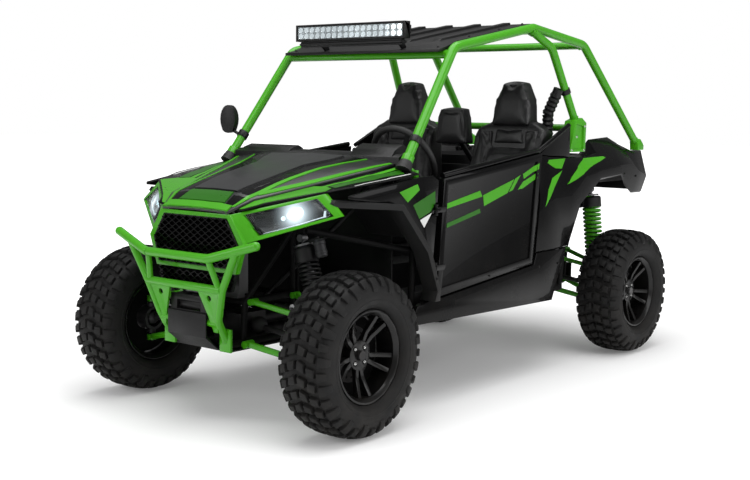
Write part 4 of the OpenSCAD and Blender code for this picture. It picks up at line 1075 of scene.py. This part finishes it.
# %% Tail lamps
tail_red = finish("tail_red", (0.6, 0.012, 0.01), 0.25, (300, 0.05), 0.05)
for side, label in ((1, "left"), (-1, "right")):
    mid, back = side * 470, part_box("tail_lamps")[1].y * 1000
    tray = box_mesh("tail_tray_" + label, (mid - 56, back - 18, 994), (mid + 56, back - 9, 1046), 1.5)
    keep(tray, "chassis", lamp_black)
    lens = box_mesh("tail_lens_" + label, (mid - 59, back - 7, 991), (mid + 59, back, 1049), 4, 3)
    smooth(lens)
    keep(lens, "chassis", red_cover, ("tail_lamps",) if side > 0 else ())
    cell = lathe("cell", [(0.0052, 0.0), (0.0052, 0.0010), (0.0030, 0.0018), (0.0004, 0.0020)], 10)
    grid = [(((mid - 44 + 11 * i) / 1000, back / 1000 - 0.0092, 1.006 + 0.014 * k), (0, 1, 0))
            for i in range(9) for k in range(3)]
    keep(copies("tail_cells_" + label, cell, grid, tail_red), "chassis", tail_red)
print("tail cells", len(grid) * 2)

# %% [markdown]
# The grille is a net of wavy black bars: each bar swings the other way from its neighbours, so they
# meet and part like a stretched mesh. One bar is swept along a sine line and clipped to the
# opening, row after row. A dark sheet behind it stands for the shaded cooling duct.

# %% Grille
def swept(bm, line, across, up, half_w, half_h):
    square = ((-1, -1), (1, -1), (1, 1), (-1, 1))
    rows = [[bm.verts.new(p + across * a * half_w + up * b * half_h) for a, b in square] for p in line]
    for low, high in zip(rows, rows[1:]):
        wall(bm, low, high)
    bm.faces.new(rows[0][::-1])
    bm.faces.new(rows[-1])

def half_width(z, table):
    for (z0, w0), (z1, w1) in zip(table, table[1:]):
        if z0 <= z <= z1:
            return mix(w0, w1, (z - z0) / (z1 - z0))
    return 0

def wavy_net(name, table, pitch, wave, swing):
    bm = bmesh.new()
    z, k = table[0][0] + pitch / 2, 0
    while z < table[-1][0]:
        reach = half_width(z, table) - 3
        count = max(8, int(reach * 2 / 5))
        line = [Vector((x, -1421, z + swing * cos(2 * pi * x / wave + pi * k))) / 1000
                for x in (mix(-reach, reach, i / count) for i in range(count + 1))]
        swept(bm, line, Vector((0, 1, 0)), Vector((0, 0, 1)), 0.008, 0.0021)
        z, k = z + pitch, k + 1
    bmesh.ops.recalc_face_normals(bm, faces=bm.faces)
    piece = from_bmesh(name, bm)
    smooth(piece, 40)
    return piece

UPPER = [(676, 232), (780, 262), (886, 194)]
LOWER = [(580, 212), (656, 236)]
PITCH, WAVE, SWING = 14, 46, 5.2
net = wavy_net("grille_net", UPPER, PITCH, WAVE, SWING)
keep(net, "chassis", gloss_black, ("grille",))
keep(wavy_net("grille_net_low", LOWER, PITCH, WAVE, SWING), "chassis", gloss_black)
# Near-black for the dust shields; on the sheets in the duct, the nose gap and the front bay it is painted
# shade, and on the disc plugs painted shade with the shield behind.
duct_black = finish("duct_black", (0.004, 0.004, 0.004), 0.8, (400, 0.1), 0.05, specular=0.1)

def sheet_in_front(name, outline, y0, y1, mat):
    loops = [[Vector((x, y, z)) / 1000 for x, z in outline] for y in (y0, y1)]
    return keep(loops_mesh(name, loops, True, True), "chassis", mat)

DUCT = [(-260, 780), (-230, 677), (230, 677), (260, 780), (193, 885), (-193, 885)]
DUCT_LOW = [(-212, 580), (212, 580), (238, 656), (-238, 656)]
NOSE_GAP = [(-192, 878), (192, 878), (192, 914), (-192, 914)]
sheet_in_front("duct_sheet", DUCT, -1407, -1402, duct_black)
sheet_in_front("duct_sheet_low", DUCT_LOW, -1407, -1402, duct_black)
# Painted shade: a dark strip in the gap between bonnet and nose, for the shade in that gap.
sheet_in_front("nose_gap", NOSE_GAP, -1398, -1390, duct_black)

def outline_frame(name, outline, width, y0, y1, mat):
    mid = Vector((0, sum(z for x, z in outline) / len(outline)))
    inner = [mid + (Vector(p) - mid) * (1 - width / (Vector(p) - mid).length) for p in outline]
    loops = []
    for pts, y in ((outline, y1), (outline, y0), (inner, y0), (inner, y1)):
        loops.append([Vector((p[0], y, p[1])) / 1000 for p in pts])
    piece = loops_mesh(name, loops + [loops[0]], False)
    bm = bmesh.new()
    bm.from_mesh(piece.data)
    bmesh.ops.remove_doubles(bm, verts=bm.verts, dist=1e-6)
    bmesh.ops.recalc_face_normals(bm, faces=bm.faces)
    bm.to_mesh(piece.data)
    bm.free()
    return keep(piece, "chassis", mat)

RIM = [(-261, 780), (-231, 677), (231, 677), (261, 780), (193, 885), (-193, 885)]
RIM_LOW = [(-213, 579), (213, 579), (239, 657), (-239, 657)]
outline_frame("grille_rim", RIM, 9, -1427, -1402, black_plastic)
outline_frame("grille_rim_low", RIM_LOW, 9, -1416, -1402, black_plastic)
print("grille net faces", len(net.data.polygons))

# %% [markdown]
# Behind the spokes a dark dust shield closes the wheel, with a drilled brake disc in front of it.
# Both are turned shapes; the holes of the disc are a ring of dark plugs, painted shade of the holes with the
# dark shield seen through them.

# %% Brakes
def annulus(name, r0, r1, x0, x1, sides=72):
    bm = bmesh.new()
    angles = [2 * pi * i / sides for i in range(sides)]
    rows = []
    for r, x in ((r0, x0), (r1, x0), (r1, x1), (r0, x1)):
        rows.append([bm.verts.new((x / 1000, r / 1000 * sin(a), r / 1000 * cos(a))) for a in angles])
    for k in range(4):
        wall(bm, rows[k], rows[(k + 1) % 4])
    bmesh.ops.recalc_face_normals(bm, faces=bm.faces)
    return from_bmesh(name, bm)

at_wheels(annulus("shield", 59, 167, -12, -9), "dust_shield", duct_black)
at_wheels(annulus("disc", 62, 118, -6, -1), "brake_disc", dark_cast)
# Painted shade: each dark plug stands for a drilled hole's shade and the shield behind it.
plug = lathe("plug", [(0.005, -0.0014), (0.005, -0.0006), (0.0046, -0.0004), (0.001, -0.0004)], 12, "X")
plug.data.transform(Matrix.Translation((0, 0.0, 0.098)))
at_wheels(grow(plug, RING, Count=20, Finish=duct_black), "disc_holes", duct_black)

# %% [markdown]
# Each seat is a moulded shell with stuffed pads on it: cushion and back centres, side rolls and a
# tapered head rest. The shell is a voxel copy of the CAD seat, relaxed until its edges are round.
# A pad begins as a block of eight corners, is remeshed, and then a short cloth run with inner
# pressure swells its free side while its back stays pinned to the shell. That gives the uneven
# bulge of foam under vinyl, which a bevel alone never shows.

# %% Seats
def relaxed(piece, voxel, rounds):
    remesh = piece.modifiers.new("even", "REMESH")
    remesh.mode, remesh.voxel_size = "VOXEL", voxel
    soft = piece.modifiers.new("relax", "SMOOTH")
    soft.factor, soft.iterations = 0.5, rounds
    return settle(piece)

def pad_block(bm, spans, sides):
    rows = [[bm.verts.new(Vector((x, *at)) / 1000) for x in span] for span, at in zip(spans, sides)]
    lo, hi, bl, bh = rows
    for quad in ((lo[0], lo[1], hi[1], hi[0]), (bl[1], bl[0], bh[0], bh[1]), (lo[1], lo[0], bl[0], bl[1]),
                 (hi[0], hi[1], bh[1], bh[0]), (lo[0], hi[0], bh[0], bl[0]), (hi[1], lo[1], bl[1], bh[1])):
        bm.faces.new(quad)

SEAT_X = 0.35
# the head rest starts at this height and is drawn in most at its foot
HEAD_FOOT, HEAD_TALL, FOOT_SHARE, TOP_SHARE = 1.262, 0.22, 0.62, 0.86
PAD_CELL, PAD_PRESSURE = 0.0065, 4.0
# x span low, x span high, then (y, z) of the front low, front high, back low and back high edges, mm
SEAT_PADS = [((-130, 130), (-130, 130), (46, 776), (436, 764), (46, 712), (436, 716)),
             ((-128, 128), (-124, 124), (372, 800), (410, 1000), (440, 800), (480, 1000)),
             ((-124, 124), (-114, 114), (408, 1012), (436, 1156), (480, 1012), (500, 1156)),
             ((-92, 92), (-84, 84), (446, 1170), (458, 1246), (520, 1170), (530, 1246)),
             ((-112, 112), (-102, 102), (450, 1262), (466, 1400), (560, 1262), (566, 1400)),
             ((-102, 102), (-62, 62), (466, 1396), (482, 1488), (566, 1396), (560, 1488))]
for s in (1, -1):
    SEAT_PADS += [((s * 140, s * 222), (s * 140, s * 222), (56, 808), (410, 802), (56, 700), (410, 706)),
                  ((s * 138, s * 216), (s * 132, s * 212), (346, 846), (388, 1050), (440, 846), (500, 1050)),
                  ((s * 128, s * 210), (s * 104, s * 176), (390, 1058), (438, 1242), (500, 1058),
                   (540, 1242))]

def blocks(name, table):
    bm = bmesh.new()
    for low, high, *sides in table:
        pad_block(bm, (sorted(low), sorted(high), sorted(low), sorted(high)), sides)
    bmesh.ops.recalc_face_normals(bm, faces=bm.faces)
    return from_bmesh(name, bm)

def stuffed(piece, voxel, press, cap):
    relaxed(piece, voxel, 10)
    rest = [v.co.copy() for v in piece.data.vertices]
    pins = piece.vertex_groups.new(name="pins")
    pins.add([v.index for v in piece.data.vertices if v.normal.y > 0.3 or v.normal.z < -0.5], 1.0, "REPLACE")
    cloth = piece.modifiers.new("cloth", "CLOTH")
    setup = cloth.settings
    setup.quality, setup.mass, setup.vertex_group_mass = 4, 0.25, "pins"
    setup.tension_stiffness = setup.compression_stiffness = 12
    setup.shear_stiffness, setup.bending_stiffness = 6, 0.8
    setup.use_pressure, setup.uniform_pressure_force = True, press
    setup.effector_weights.gravity = 0
    cloth.point_cache.frame_start, cloth.point_cache.frame_end = 1, 20
    for step in range(1, 21):
        scene.frame_set(step)
    settle(piece)
    scene.frame_set(1)
    for vert, was in zip(piece.data.vertices, rest):
        move = vert.co - was
        if move.length > cap:
            vert.co = was + move * (cap / move.length)
    soft = piece.modifiers.new("relax", "SMOOTH")
    soft.factor, soft.iterations = 0.5, 5
    return settle(piece)

def moved_copy(source, name, shift):
    mesh = source.data.copy()
    mesh.transform(Matrix.Translation(shift))
    piece = bpy.data.objects.new(name, mesh)
    scene.collection.objects.link(piece)
    smooth(piece, 70)
    return piece

shell = from_bmesh("shell", merged_copy("seat_left"))
for vert in shell.data.vertices:
    if vert.co.z > HEAD_FOOT:
        share = mix(FOOT_SHARE, TOP_SHARE, (vert.co.z - HEAD_FOOT) / HEAD_TALL)
        vert.co.x = SEAT_X + (vert.co.x - SEAT_X) * share
relaxed(shell, 0.009, 14)
pads = stuffed(blocks("pads", SEAT_PADS), PAD_CELL, PAD_PRESSURE, 0.011)
for label, x in (("left", 0.0), ("right", -2 * SEAT_X)):
    seat = moved_copy(shell, "seat_shell_" + label, (x, 0, 0))
    keep(seat, "chassis", seat_cover, ("seat_" + label,))
    pad = moved_copy(pads, "seat_pads_" + label, (x + SEAT_X, 0, 0))
    keep(pad, "chassis", seat_cover)
CENTRE_PAD = [((-104, 104), (-74, 74), (414, 1160), (424, 1348), (496, 1160), (496, 1348))]
middle = stuffed(blocks("middle", CENTRE_PAD), PAD_CELL, PAD_PRESSURE, 0.009)
pad = moved_copy(middle, "centre_pad_soft", (0, 0, 0))
keep(pad, "chassis", seat_cover)
softened("centre_pad", 6, seat_cover, 2)
print("pad faces", len(pads.data.polygons), "shell faces", len(shell.data.polygons))
for part in (shell, pads, middle):
    bpy.data.objects.remove(part)

# %% [markdown]
# A coil spring is a wire on a helix, so Geometry Nodes draws it: a spiral curve with a round
# profile, whose turns, height and radii are inputs. The front springs are black, the rear ones are
# painted like the cage.

# %% Springs
def coil_tree():
    numbers = [(label, "NodeSocketFloat") for label in ("Turns", "Height", "Radius", "Wire")]
    sockets = [("Geometry", "NodeSocketGeometry"), *numbers, ("Finish", "NodeSocketMaterial")]
    tree, start, end = tree_of("coil_spring", sockets)
    spiral = tree.nodes.new("GeometryNodeCurveSpiral")
    ring = tree.nodes.new("GeometryNodeCurvePrimitiveCircle")
    tube = tree.nodes.new("GeometryNodeCurveToMesh")
    spiral.inputs["Resolution"].default_value = 26
    ring.inputs["Resolution"].default_value = 10
    tube.inputs["Fill Caps"].default_value = True
    for label, socket in (("Turns", "Rotations"), ("Height", "Height"), ("Radius", "Start Radius"),
                          ("Radius", "End Radius")):
        link(tree, start.outputs[label], spiral.inputs[socket])
    link(tree, start.outputs["Wire"], ring.inputs["Radius"])
    link(tree, spiral.outputs[0], tube.inputs["Curve"])
    link(tree, ring.outputs[0], tube.inputs["Profile Curve"])
    return close_tree(tree, start, end, tube.outputs[0])

COIL = coil_tree()

def along(low, high):
    way = Vector(high) - Vector(low)
    turn = way.to_track_quat("Z", "Y").to_matrix().to_4x4()
    return Matrix.Translation(Vector(low) / 1000) @ turn, way.length / 1000

def joined(name, parts):
    bm = bmesh.new()
    for part in parts:
        bm.from_mesh(part.data)
        bpy.data.objects.remove(part)
    return from_bmesh(name, bm)

# y, lower and upper end as (x, z), turns, coil radius in m, wire radius in mm, finish and slot
SHOCKS = {"front": (-1160, (474, 492.4), (374, 799.7), 12, 0.041, 7.0, black_steel, "black_steel"),
          "rear": (1195, (474, 492.4), (432, 899.4), 13, 0.044, 9.0, green_paint, "green_paint")}
for end_name, (y, low, high, turns, radius, wire, mat, slot) in SHOCKS.items():
    coils = []
    for s in (-1, 1):
        place, length = along((s * low[0], y, low[1]), (s * high[0], y, high[1]))
        tall = length - 0.0846 - wire / 500
        coil = grow(mesh_object("coil", [(0, 0, 0)], []), COIL, Turns=turns, Height=tall, Radius=radius,
                    Wire=wire / 1000, Finish=mat)
        coil.data.transform(place @ Matrix.Translation((0, 0, 0.0483 + wire / 1000)))
        coils.append(coil)
    spring = joined("coil_springs_" + end_name, coils)
    smooth(spring, 50)
    keep(spring, "chassis", mat, ("springs",))
    print(spring.name, len(spring.data.polygons))

# %% [markdown]
# Pressed plates, tubes and mouldings never end in a knife edge. The solids in this table are
# therefore given fine stand-ins with rounded edges, wide on moulded plastic, narrow on steel plate.
# The tubes of the cage are drawn a little fuller, and the mirror head a little narrower.

# %% Rounded stand-ins
CAGE_GROWTH = 0.0036
MIRROR_X, MIRROR_SHARE = -0.617, 0.82
# solid, rounding in mm, finish, slot and steps
ROUNDED = [
    ("roof", 7, black_plastic, "black_plastic", 3),
    ("dash", 6, black_plastic, "black_plastic", 3),
    ("tub", 4, black_plastic, "char_plastic", 2),
    ("mirrors", 3, black_plastic, "black_plastic", 2),
    ("skid_plate", 3, black_plastic, "black_plastic", 2),
    ("bumper", 1.5, green_paint, "green_paint", 2),
    ("winch", 2.5, black_steel, "black_steel", 2),
    ("pillar_brackets", 2, green_paint, "green_paint", 2),
    ("cargo_bed", 5, black_plastic, "black_plastic", 2),
    ("tail_panel", 4, charcoal, "char_plastic", 2),
    ("engine", 4, dark_cast, "cast", 2),
    ("hitch", 2, black_steel, "black_steel", 2),
]
fine = {name: softened(name, size, mat, steps) for name, size, mat, slot, steps in ROUNDED}
for vert in fine["mirrors"].data.vertices:
    if vert.co.x < -0.55 and vert.co.z > 1.235:
        vert.co.x = MIRROR_X + (vert.co.x - MIRROR_X) * MIRROR_SHARE
cage = from_bmesh("cage_fine", merged_copy("cage"))
for vert, normal in zip(cage.data.vertices, [v.normal.copy() for v in cage.data.vertices]):
    vert.co += normal * CAGE_GROWTH
smooth(cage, 40)
keep(cage, "chassis", green_paint, ("cage",))
print("rounded", len(ROUNDED) + 1)

# %% [markdown]
# Small hardware makes a machine believable. Each bolt is dropped onto the CAD surface with a ray,
# so that it sits on the panel and points along its normal, and Geometry Nodes then copies one bolt
# to all those spots. The welds of the cage are thin beads at the feet of the tubes.

# %% Bolts and welds
def seats_on(names, axis, side, spots, least=0.5):
    tree, (u, v, w) = host_tree(names), AXES[axis]
    found = []
    for a, b in spots:
        start, way = Vector((0, 0, 0)), Vector((0, 0, 0))
        start[u], start[v], start[w], way[w] = a / 1000, b / 1000, RAY_START * side, -side
        hit, normal = tree.ray_cast(start, way)[:2]
        if hit is not None and abs(normal[w]) > least:
            found.append((hit, normal if normal[w] * side > 0 else -normal))
    return found

BOLT = [(8.0, -1.0), (8.0, 1.0), (7.4, 1.4), (5.4, 1.5), (5.2, 4.4), (4.2, 5.4), (2.2, 5.4),
        (2.0, 3.6), (0.2, 3.5)]

def bolt(size=1.0):
    return lathe("bolt", [(r * size / 1000, h * size / 1000) for r, h in BOLT], 12)

def arch(y, radius, angles):
    return [(y + radius * sin(radians(a)), 343 + radius * cos(radians(a))) for a in angles]

BRACKET_SPOTS = [(664, 1136), (792, 1136), (796, 1262), (690, 1270), (736, 1206)]
DOOR_SPOTS = [(-560, 540), (-560, 740), (-560, 900), (275, 600), (275, 820), (275, 1020), (-140, 560)]
BOLT_ROWS = [("flare_bolts", "front_flares", arch(-1160, 590, (8, 22, 36, 50, 64, 76)), black_steel),
             ("panel_bolts", "rear_panels", arch(1195, 655, (-52, -40, -28, -14, 0, 14)), black_steel),
             ("sill_bolts", "sills", [(-640 + 190 * i, 560) for i in range(7)], black_steel),
             ("bracket_bolts", "pillar_brackets", BRACKET_SPOTS, bright_zinc)]
total = 0
for label, host, spots, mat in BOLT_ROWS:
    places = [p for side in (1, -1) for p in seats_on([host], "x", side, spots)]
    keep(copies(label, bolt(0.9), places, mat), "chassis", None)
    total += len(places)
for side, label in ((1, "left"), (-1, "right")):
    places = seats_on(["door_" + label], "x", side, DOOR_SPOTS)
    keep(copies("door_bolts_" + label, bolt(0.7), places, black_steel), "door_" + label, None)
    total += len(places)
roof_spots = [(x, y) for x in (-448, 448) for y in (-320, -70, 190, 400)]
roof_places = seats_on(["roof"], "z", 1, roof_spots)
keep(copies("roof_bolts", bolt(), roof_places, black_steel), "chassis", None)
tail_spots = [(x, z) for x in (-330, -110, 110, 330) for z in (906, 1068)]
tail_places = seats_on(["tail_panel"], "y", 1, tail_spots)
keep(copies("tail_bolts", bolt(), tail_places, black_steel), "chassis", None)

fin = box_mesh("fin", (-84, -3, -1), (84, 3, 11), 1.4)
fin_row = [(692 + 22 * i, 470) for i in range(13)]
fin_spots = [p for side in (1, -1) for p in seats_on(["engine"], "x", side, fin_row, 0.9)]
keep(copies("engine_fins", fin, fin_spots, dark_cast), "chassis", None)

def bead(radius, wire, sides=28):
    bm = bmesh.new()
    rows = [[bm.verts.new(((radius + wire * cos(2 * pi * k / 6)) * cos(2 * pi * i / sides) / 1000,
                           (radius + wire * cos(2 * pi * k / 6)) * sin(2 * pi * i / sides) / 1000,
                           wire * sin(2 * pi * k / 6) / 1000)) for k in range(6)] for i in range(sides)]
    for i in range(sides):
        low, high = rows[i], rows[(i + 1) % sides]
        for k in range(6):
            bm.faces.new((low[k], high[k], high[(k + 1) % 6], low[(k + 1) % 6]))
    bmesh.ops.recalc_face_normals(bm, faces=bm.faces)
    return from_bmesh("bead", bm)

# ends and bends of the cage's tubes on the driver's side, mm: front pillar, second pillar and stay
A_FOOT, A_TOP = Vector((549, -679, 1112)), Vector((510, -281, 1630))
B_FOOT, B_BEND, B_TOP = Vector((565, 763, 1284)), Vector((530, 562, 1664)), Vector((505, 400, 1744))
STAY_FOOT, STAY_BEND = Vector((576.6, 1459.3, 1150)), Vector((508, 928, 1698))
BEADS = [(A_FOOT.lerp(A_TOP, 0.048), A_TOP - A_FOOT), (B_FOOT.lerp(B_BEND, 0.055), B_BEND - B_FOOT),
         (STAY_FOOT.lerp(STAY_BEND, 0.052), STAY_BEND - STAY_FOOT), (B_TOP.lerp(B_BEND, 0.1), B_BEND - B_TOP),
         (Vector((487, 412, 1745)), Vector((1, 0, 0))), (Vector((489, 920, 1694)), Vector((1, 0, 0)))]

def flipped(p, s):
    return Vector((p.x * s, p.y, p.z))

spots = [(flipped(p, s) / 1000, flipped(way, s)) for p, way in BEADS for s in (1, -1)]
keep(copies("weld_beads", bead(22.4, 2.8), spots, green_paint), "chassis", None)
print("bolts", total, "welds", len(spots))

# %% [markdown]
# Dampers carry a black cap over the top coils and a slim gas reservoir in a clamp beside them. A
# rubber boot closes the gap where each front pillar goes through the bonnet edge, and a dark sheet
# in the front bay, painted shade, stands for the shade there and closes the view through it.

# %% Damper caps, reservoirs and boots
CAN = [(0.008, 0.0), (0.020, 0.001), (0.024, 0.006), (0.024, 0.014), (0.0262, 0.016), (0.0262, 0.026),
       (0.024, 0.028), (0.024, 0.054), (0.0262, 0.056), (0.0262, 0.066), (0.024, 0.068), (0.022, 0.076),
       (0.010, 0.080)]
BOOT = [(0.020, -0.002), (0.0295, -0.002), (0.031, -0.008), (0.0305, -0.014), (0.034, -0.022),
        (0.0335, -0.030), (0.037, -0.046), (0.020, -0.047)]
# front y, back y and foot z of each sheet, mm
SHADE_SHEETS = [(-1340, -1096, 400), (-1100, -1020, 500), (-1024, -722, 360)]
for end_name, (y, low, high, turns, radius, wire, mat, slot) in SHOCKS.items():
    caps, cans = [], []
    for s in (-1, 1):
        place, length = along((s * low[0], y, low[1]), (s * high[0], y, high[1]))
        wide = radius + wire / 1000 + 0.003
        cap = lathe("cap", [(0.024, 0.0), (wide, 0.0), (wide + 0.001, 0.003), (wide, 0.052),
                            (wide - 0.006, 0.060), (0.020, 0.062), (0.016, 0.074)], 32)
        cap.data.transform(place @ Matrix.Translation((0, 0, length - 0.100)))
        caps.append(cap)
        can = lathe("can", CAN, 28)
        can.data.transform(place @ Matrix.Translation((0, 0.086 if y < 0 else -0.086, length - 0.104)))
        cans.append(can)
        clamp = box_mesh("clamp", (-9, -88, -7), (9, 88, 7), 3)
        up = Matrix.Translation((0, 0, length - 0.024))
        half = Matrix.Scale(0.5, 4, (0, 1, 0))
        aside = Matrix.Translation((0, 0.088 if y < 0 else -0.088, 0))
        clamp.data.transform(place @ up @ half @ aside)
        caps.append(clamp)
    for label, parts, paint, kind in (("spring_caps_", caps, black_plastic, "black_plastic"),
                                      ("damper_cans_", cans, dark_cast, "cast")):
        piece = joined(label + end_name, parts)
        smooth(piece)
        keep(piece, "chassis", paint)
boots = []
for s in (1, -1):
    boot = lathe("boot", BOOT, 32)
    boot.data.transform(along(flipped(A_FOOT, s), flipped(A_TOP, s))[0])
    boots.append(boot)
piece = joined("pillar_boots", boots)
smooth(piece)
keep(piece, "chassis", soft_rubber)
# Painted shade: dark sheets that stand for the shade in the front bay.
shade_sheets = [box_mesh("sheet", (-64, y0, z0), (-58, y1, 760), 2) for y0, y1, z0 in SHADE_SHEETS]
keep(joined("splash_sheet", shade_sheets), "chassis", duct_black)
print("dampers dressed", len(SHOCKS) * 2)

# %% [markdown]
# In the cabin: a display in front of the driver, a row of rocker switches, a grab handle for the
# passenger and a gear lever with its boot. The oval glass sits in the recess of the mirror head.

# %% Cabin and mirror
def tube(name, points, radius):
    curve = bpy.data.curves.new(name, "CURVE")
    curve.dimensions, curve.use_fill_caps = "3D", True
    curve.bevel_depth, curve.bevel_resolution = radius / 1000, 3
    line = curve.splines.new("NURBS")
    line.points.add(len(points) - 1)
    for spot, p in zip(line.points, points):
        spot.co = (*(Vector(p) / 1000), 1)
    line.use_endpoint_u, line.order_u, line.resolution_u = True, 3, 6
    holder = bpy.data.objects.new(name + "_line", curve)
    scene.collection.objects.link(holder)
    mesh = bpy.data.meshes.new_from_object(holder.evaluated_get(bpy.context.evaluated_depsgraph_get()))
    bpy.data.objects.remove(holder)
    piece = bpy.data.objects.new(name, mesh)
    scene.collection.objects.link(piece)
    smooth(piece, 50)
    return piece

oval = [(35.4 * cos(2 * pi * i / 40), 63.2 * sin(2 * pi * i / 40)) for i in range(40)]
glass_loops = [[Vector((x * k, y, z * k)) / 1000 for x, z in oval]
               for y, k in ((12.2, 1.0), (14.0, 1.0), (15.2, 0.97), (16.0, 0.7))]
glass = loops_mesh("mirror_glass", glass_loops, True, True)
glass.data.transform(Matrix.Translation((MIRROR_X, -0.629, 1.282)) @ Matrix.Rotation(radians(14), 4, "Z"))
smooth(glass, 30)
keep(glass, "chassis", mirror_bowl)
screen_blue = glowing("display_glow", (0.02, 0.05, 0.07), 0.6)
lean = Matrix.Translation((0.35, -0.5655, 1.125)) @ Matrix.Rotation(radians(-7.6), 4, "X")
DISPLAY = [("display_case", (-64, -8, -38), (64, 10, 40), 5, black_plastic),
           ("display_screen", (-55, 9.2, -29), (55, 10.8, 31), 0.8, screen_blue)]
for label, low, high, size, mat in DISPLAY:
    part = box_mesh(label, low, high, size, 3)
    part.data.transform(lean)
    smooth(part)
    keep(part, "chassis", mat)
rocker = box_mesh("rocker", (-11, -17, -4), (11, 17, 7), 2.5)
face = [((-0.108 + 0.036 * i, -0.5625, 1.058), (0, 1, 0.18)) for i in range(7)]
keep(copies("rocker_switches", rocker, face, gloss_black), "chassis", None)
GRAB = [(-440, -566, 1092), (-440, -520, 1096), (-420, -498, 1098), (-320, -496, 1098), (-220, -498, 1098),
        (-200, -520, 1096), (-200, -566, 1092)]
grab = tube("grab_handle", GRAB, 11)
keep(grab, "chassis", soft_rubber)
GAITER = [(0.046, 0.0), (0.046, 0.004), (0.036, 0.010), (0.038, 0.018), (0.028, 0.026), (0.030, 0.034),
          (0.020, 0.042), (0.012, 0.060), (0.006, 0.062)]
gaiter = lathe("gaiter", GAITER, 28)
gaiter.data.transform(Matrix.Translation((0, -0.2, 0.5695)))
KNOB = [(0.006, 0.0), (0.012, 0.002), (0.022, 0.016), (0.024, 0.032), (0.020, 0.046), (0.010, 0.054),
        (0.002, 0.055)]
knob = lathe("knob", KNOB, 24)
knob.data.transform(Matrix.Translation((0, -0.158, 0.752)) @ Matrix.Rotation(radians(-14), 4, "X"))
stick = tube("stick", [(0, -200, 600), (0, -186, 670), (0, -158, 760)], 7)
lever = joined("gear_lever", [gaiter, knob, stick])
smooth(lever)
keep(lever, "chassis", soft_rubber)
softened("steering_wheel", 1.2, soft_rubber, 2, 40)
print("cabin pieces made")

# %% [markdown]
# The dressed model must keep the size of the CAD model, so both boxes are written out to compare.

# %% Measure and finish
seen_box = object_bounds()
moved = [round(1000 * abs(a - b), 1) for p, q in zip(cad_box, seen_box) for a, b in zip(p, q)]
print("grown by", moved, "mm")
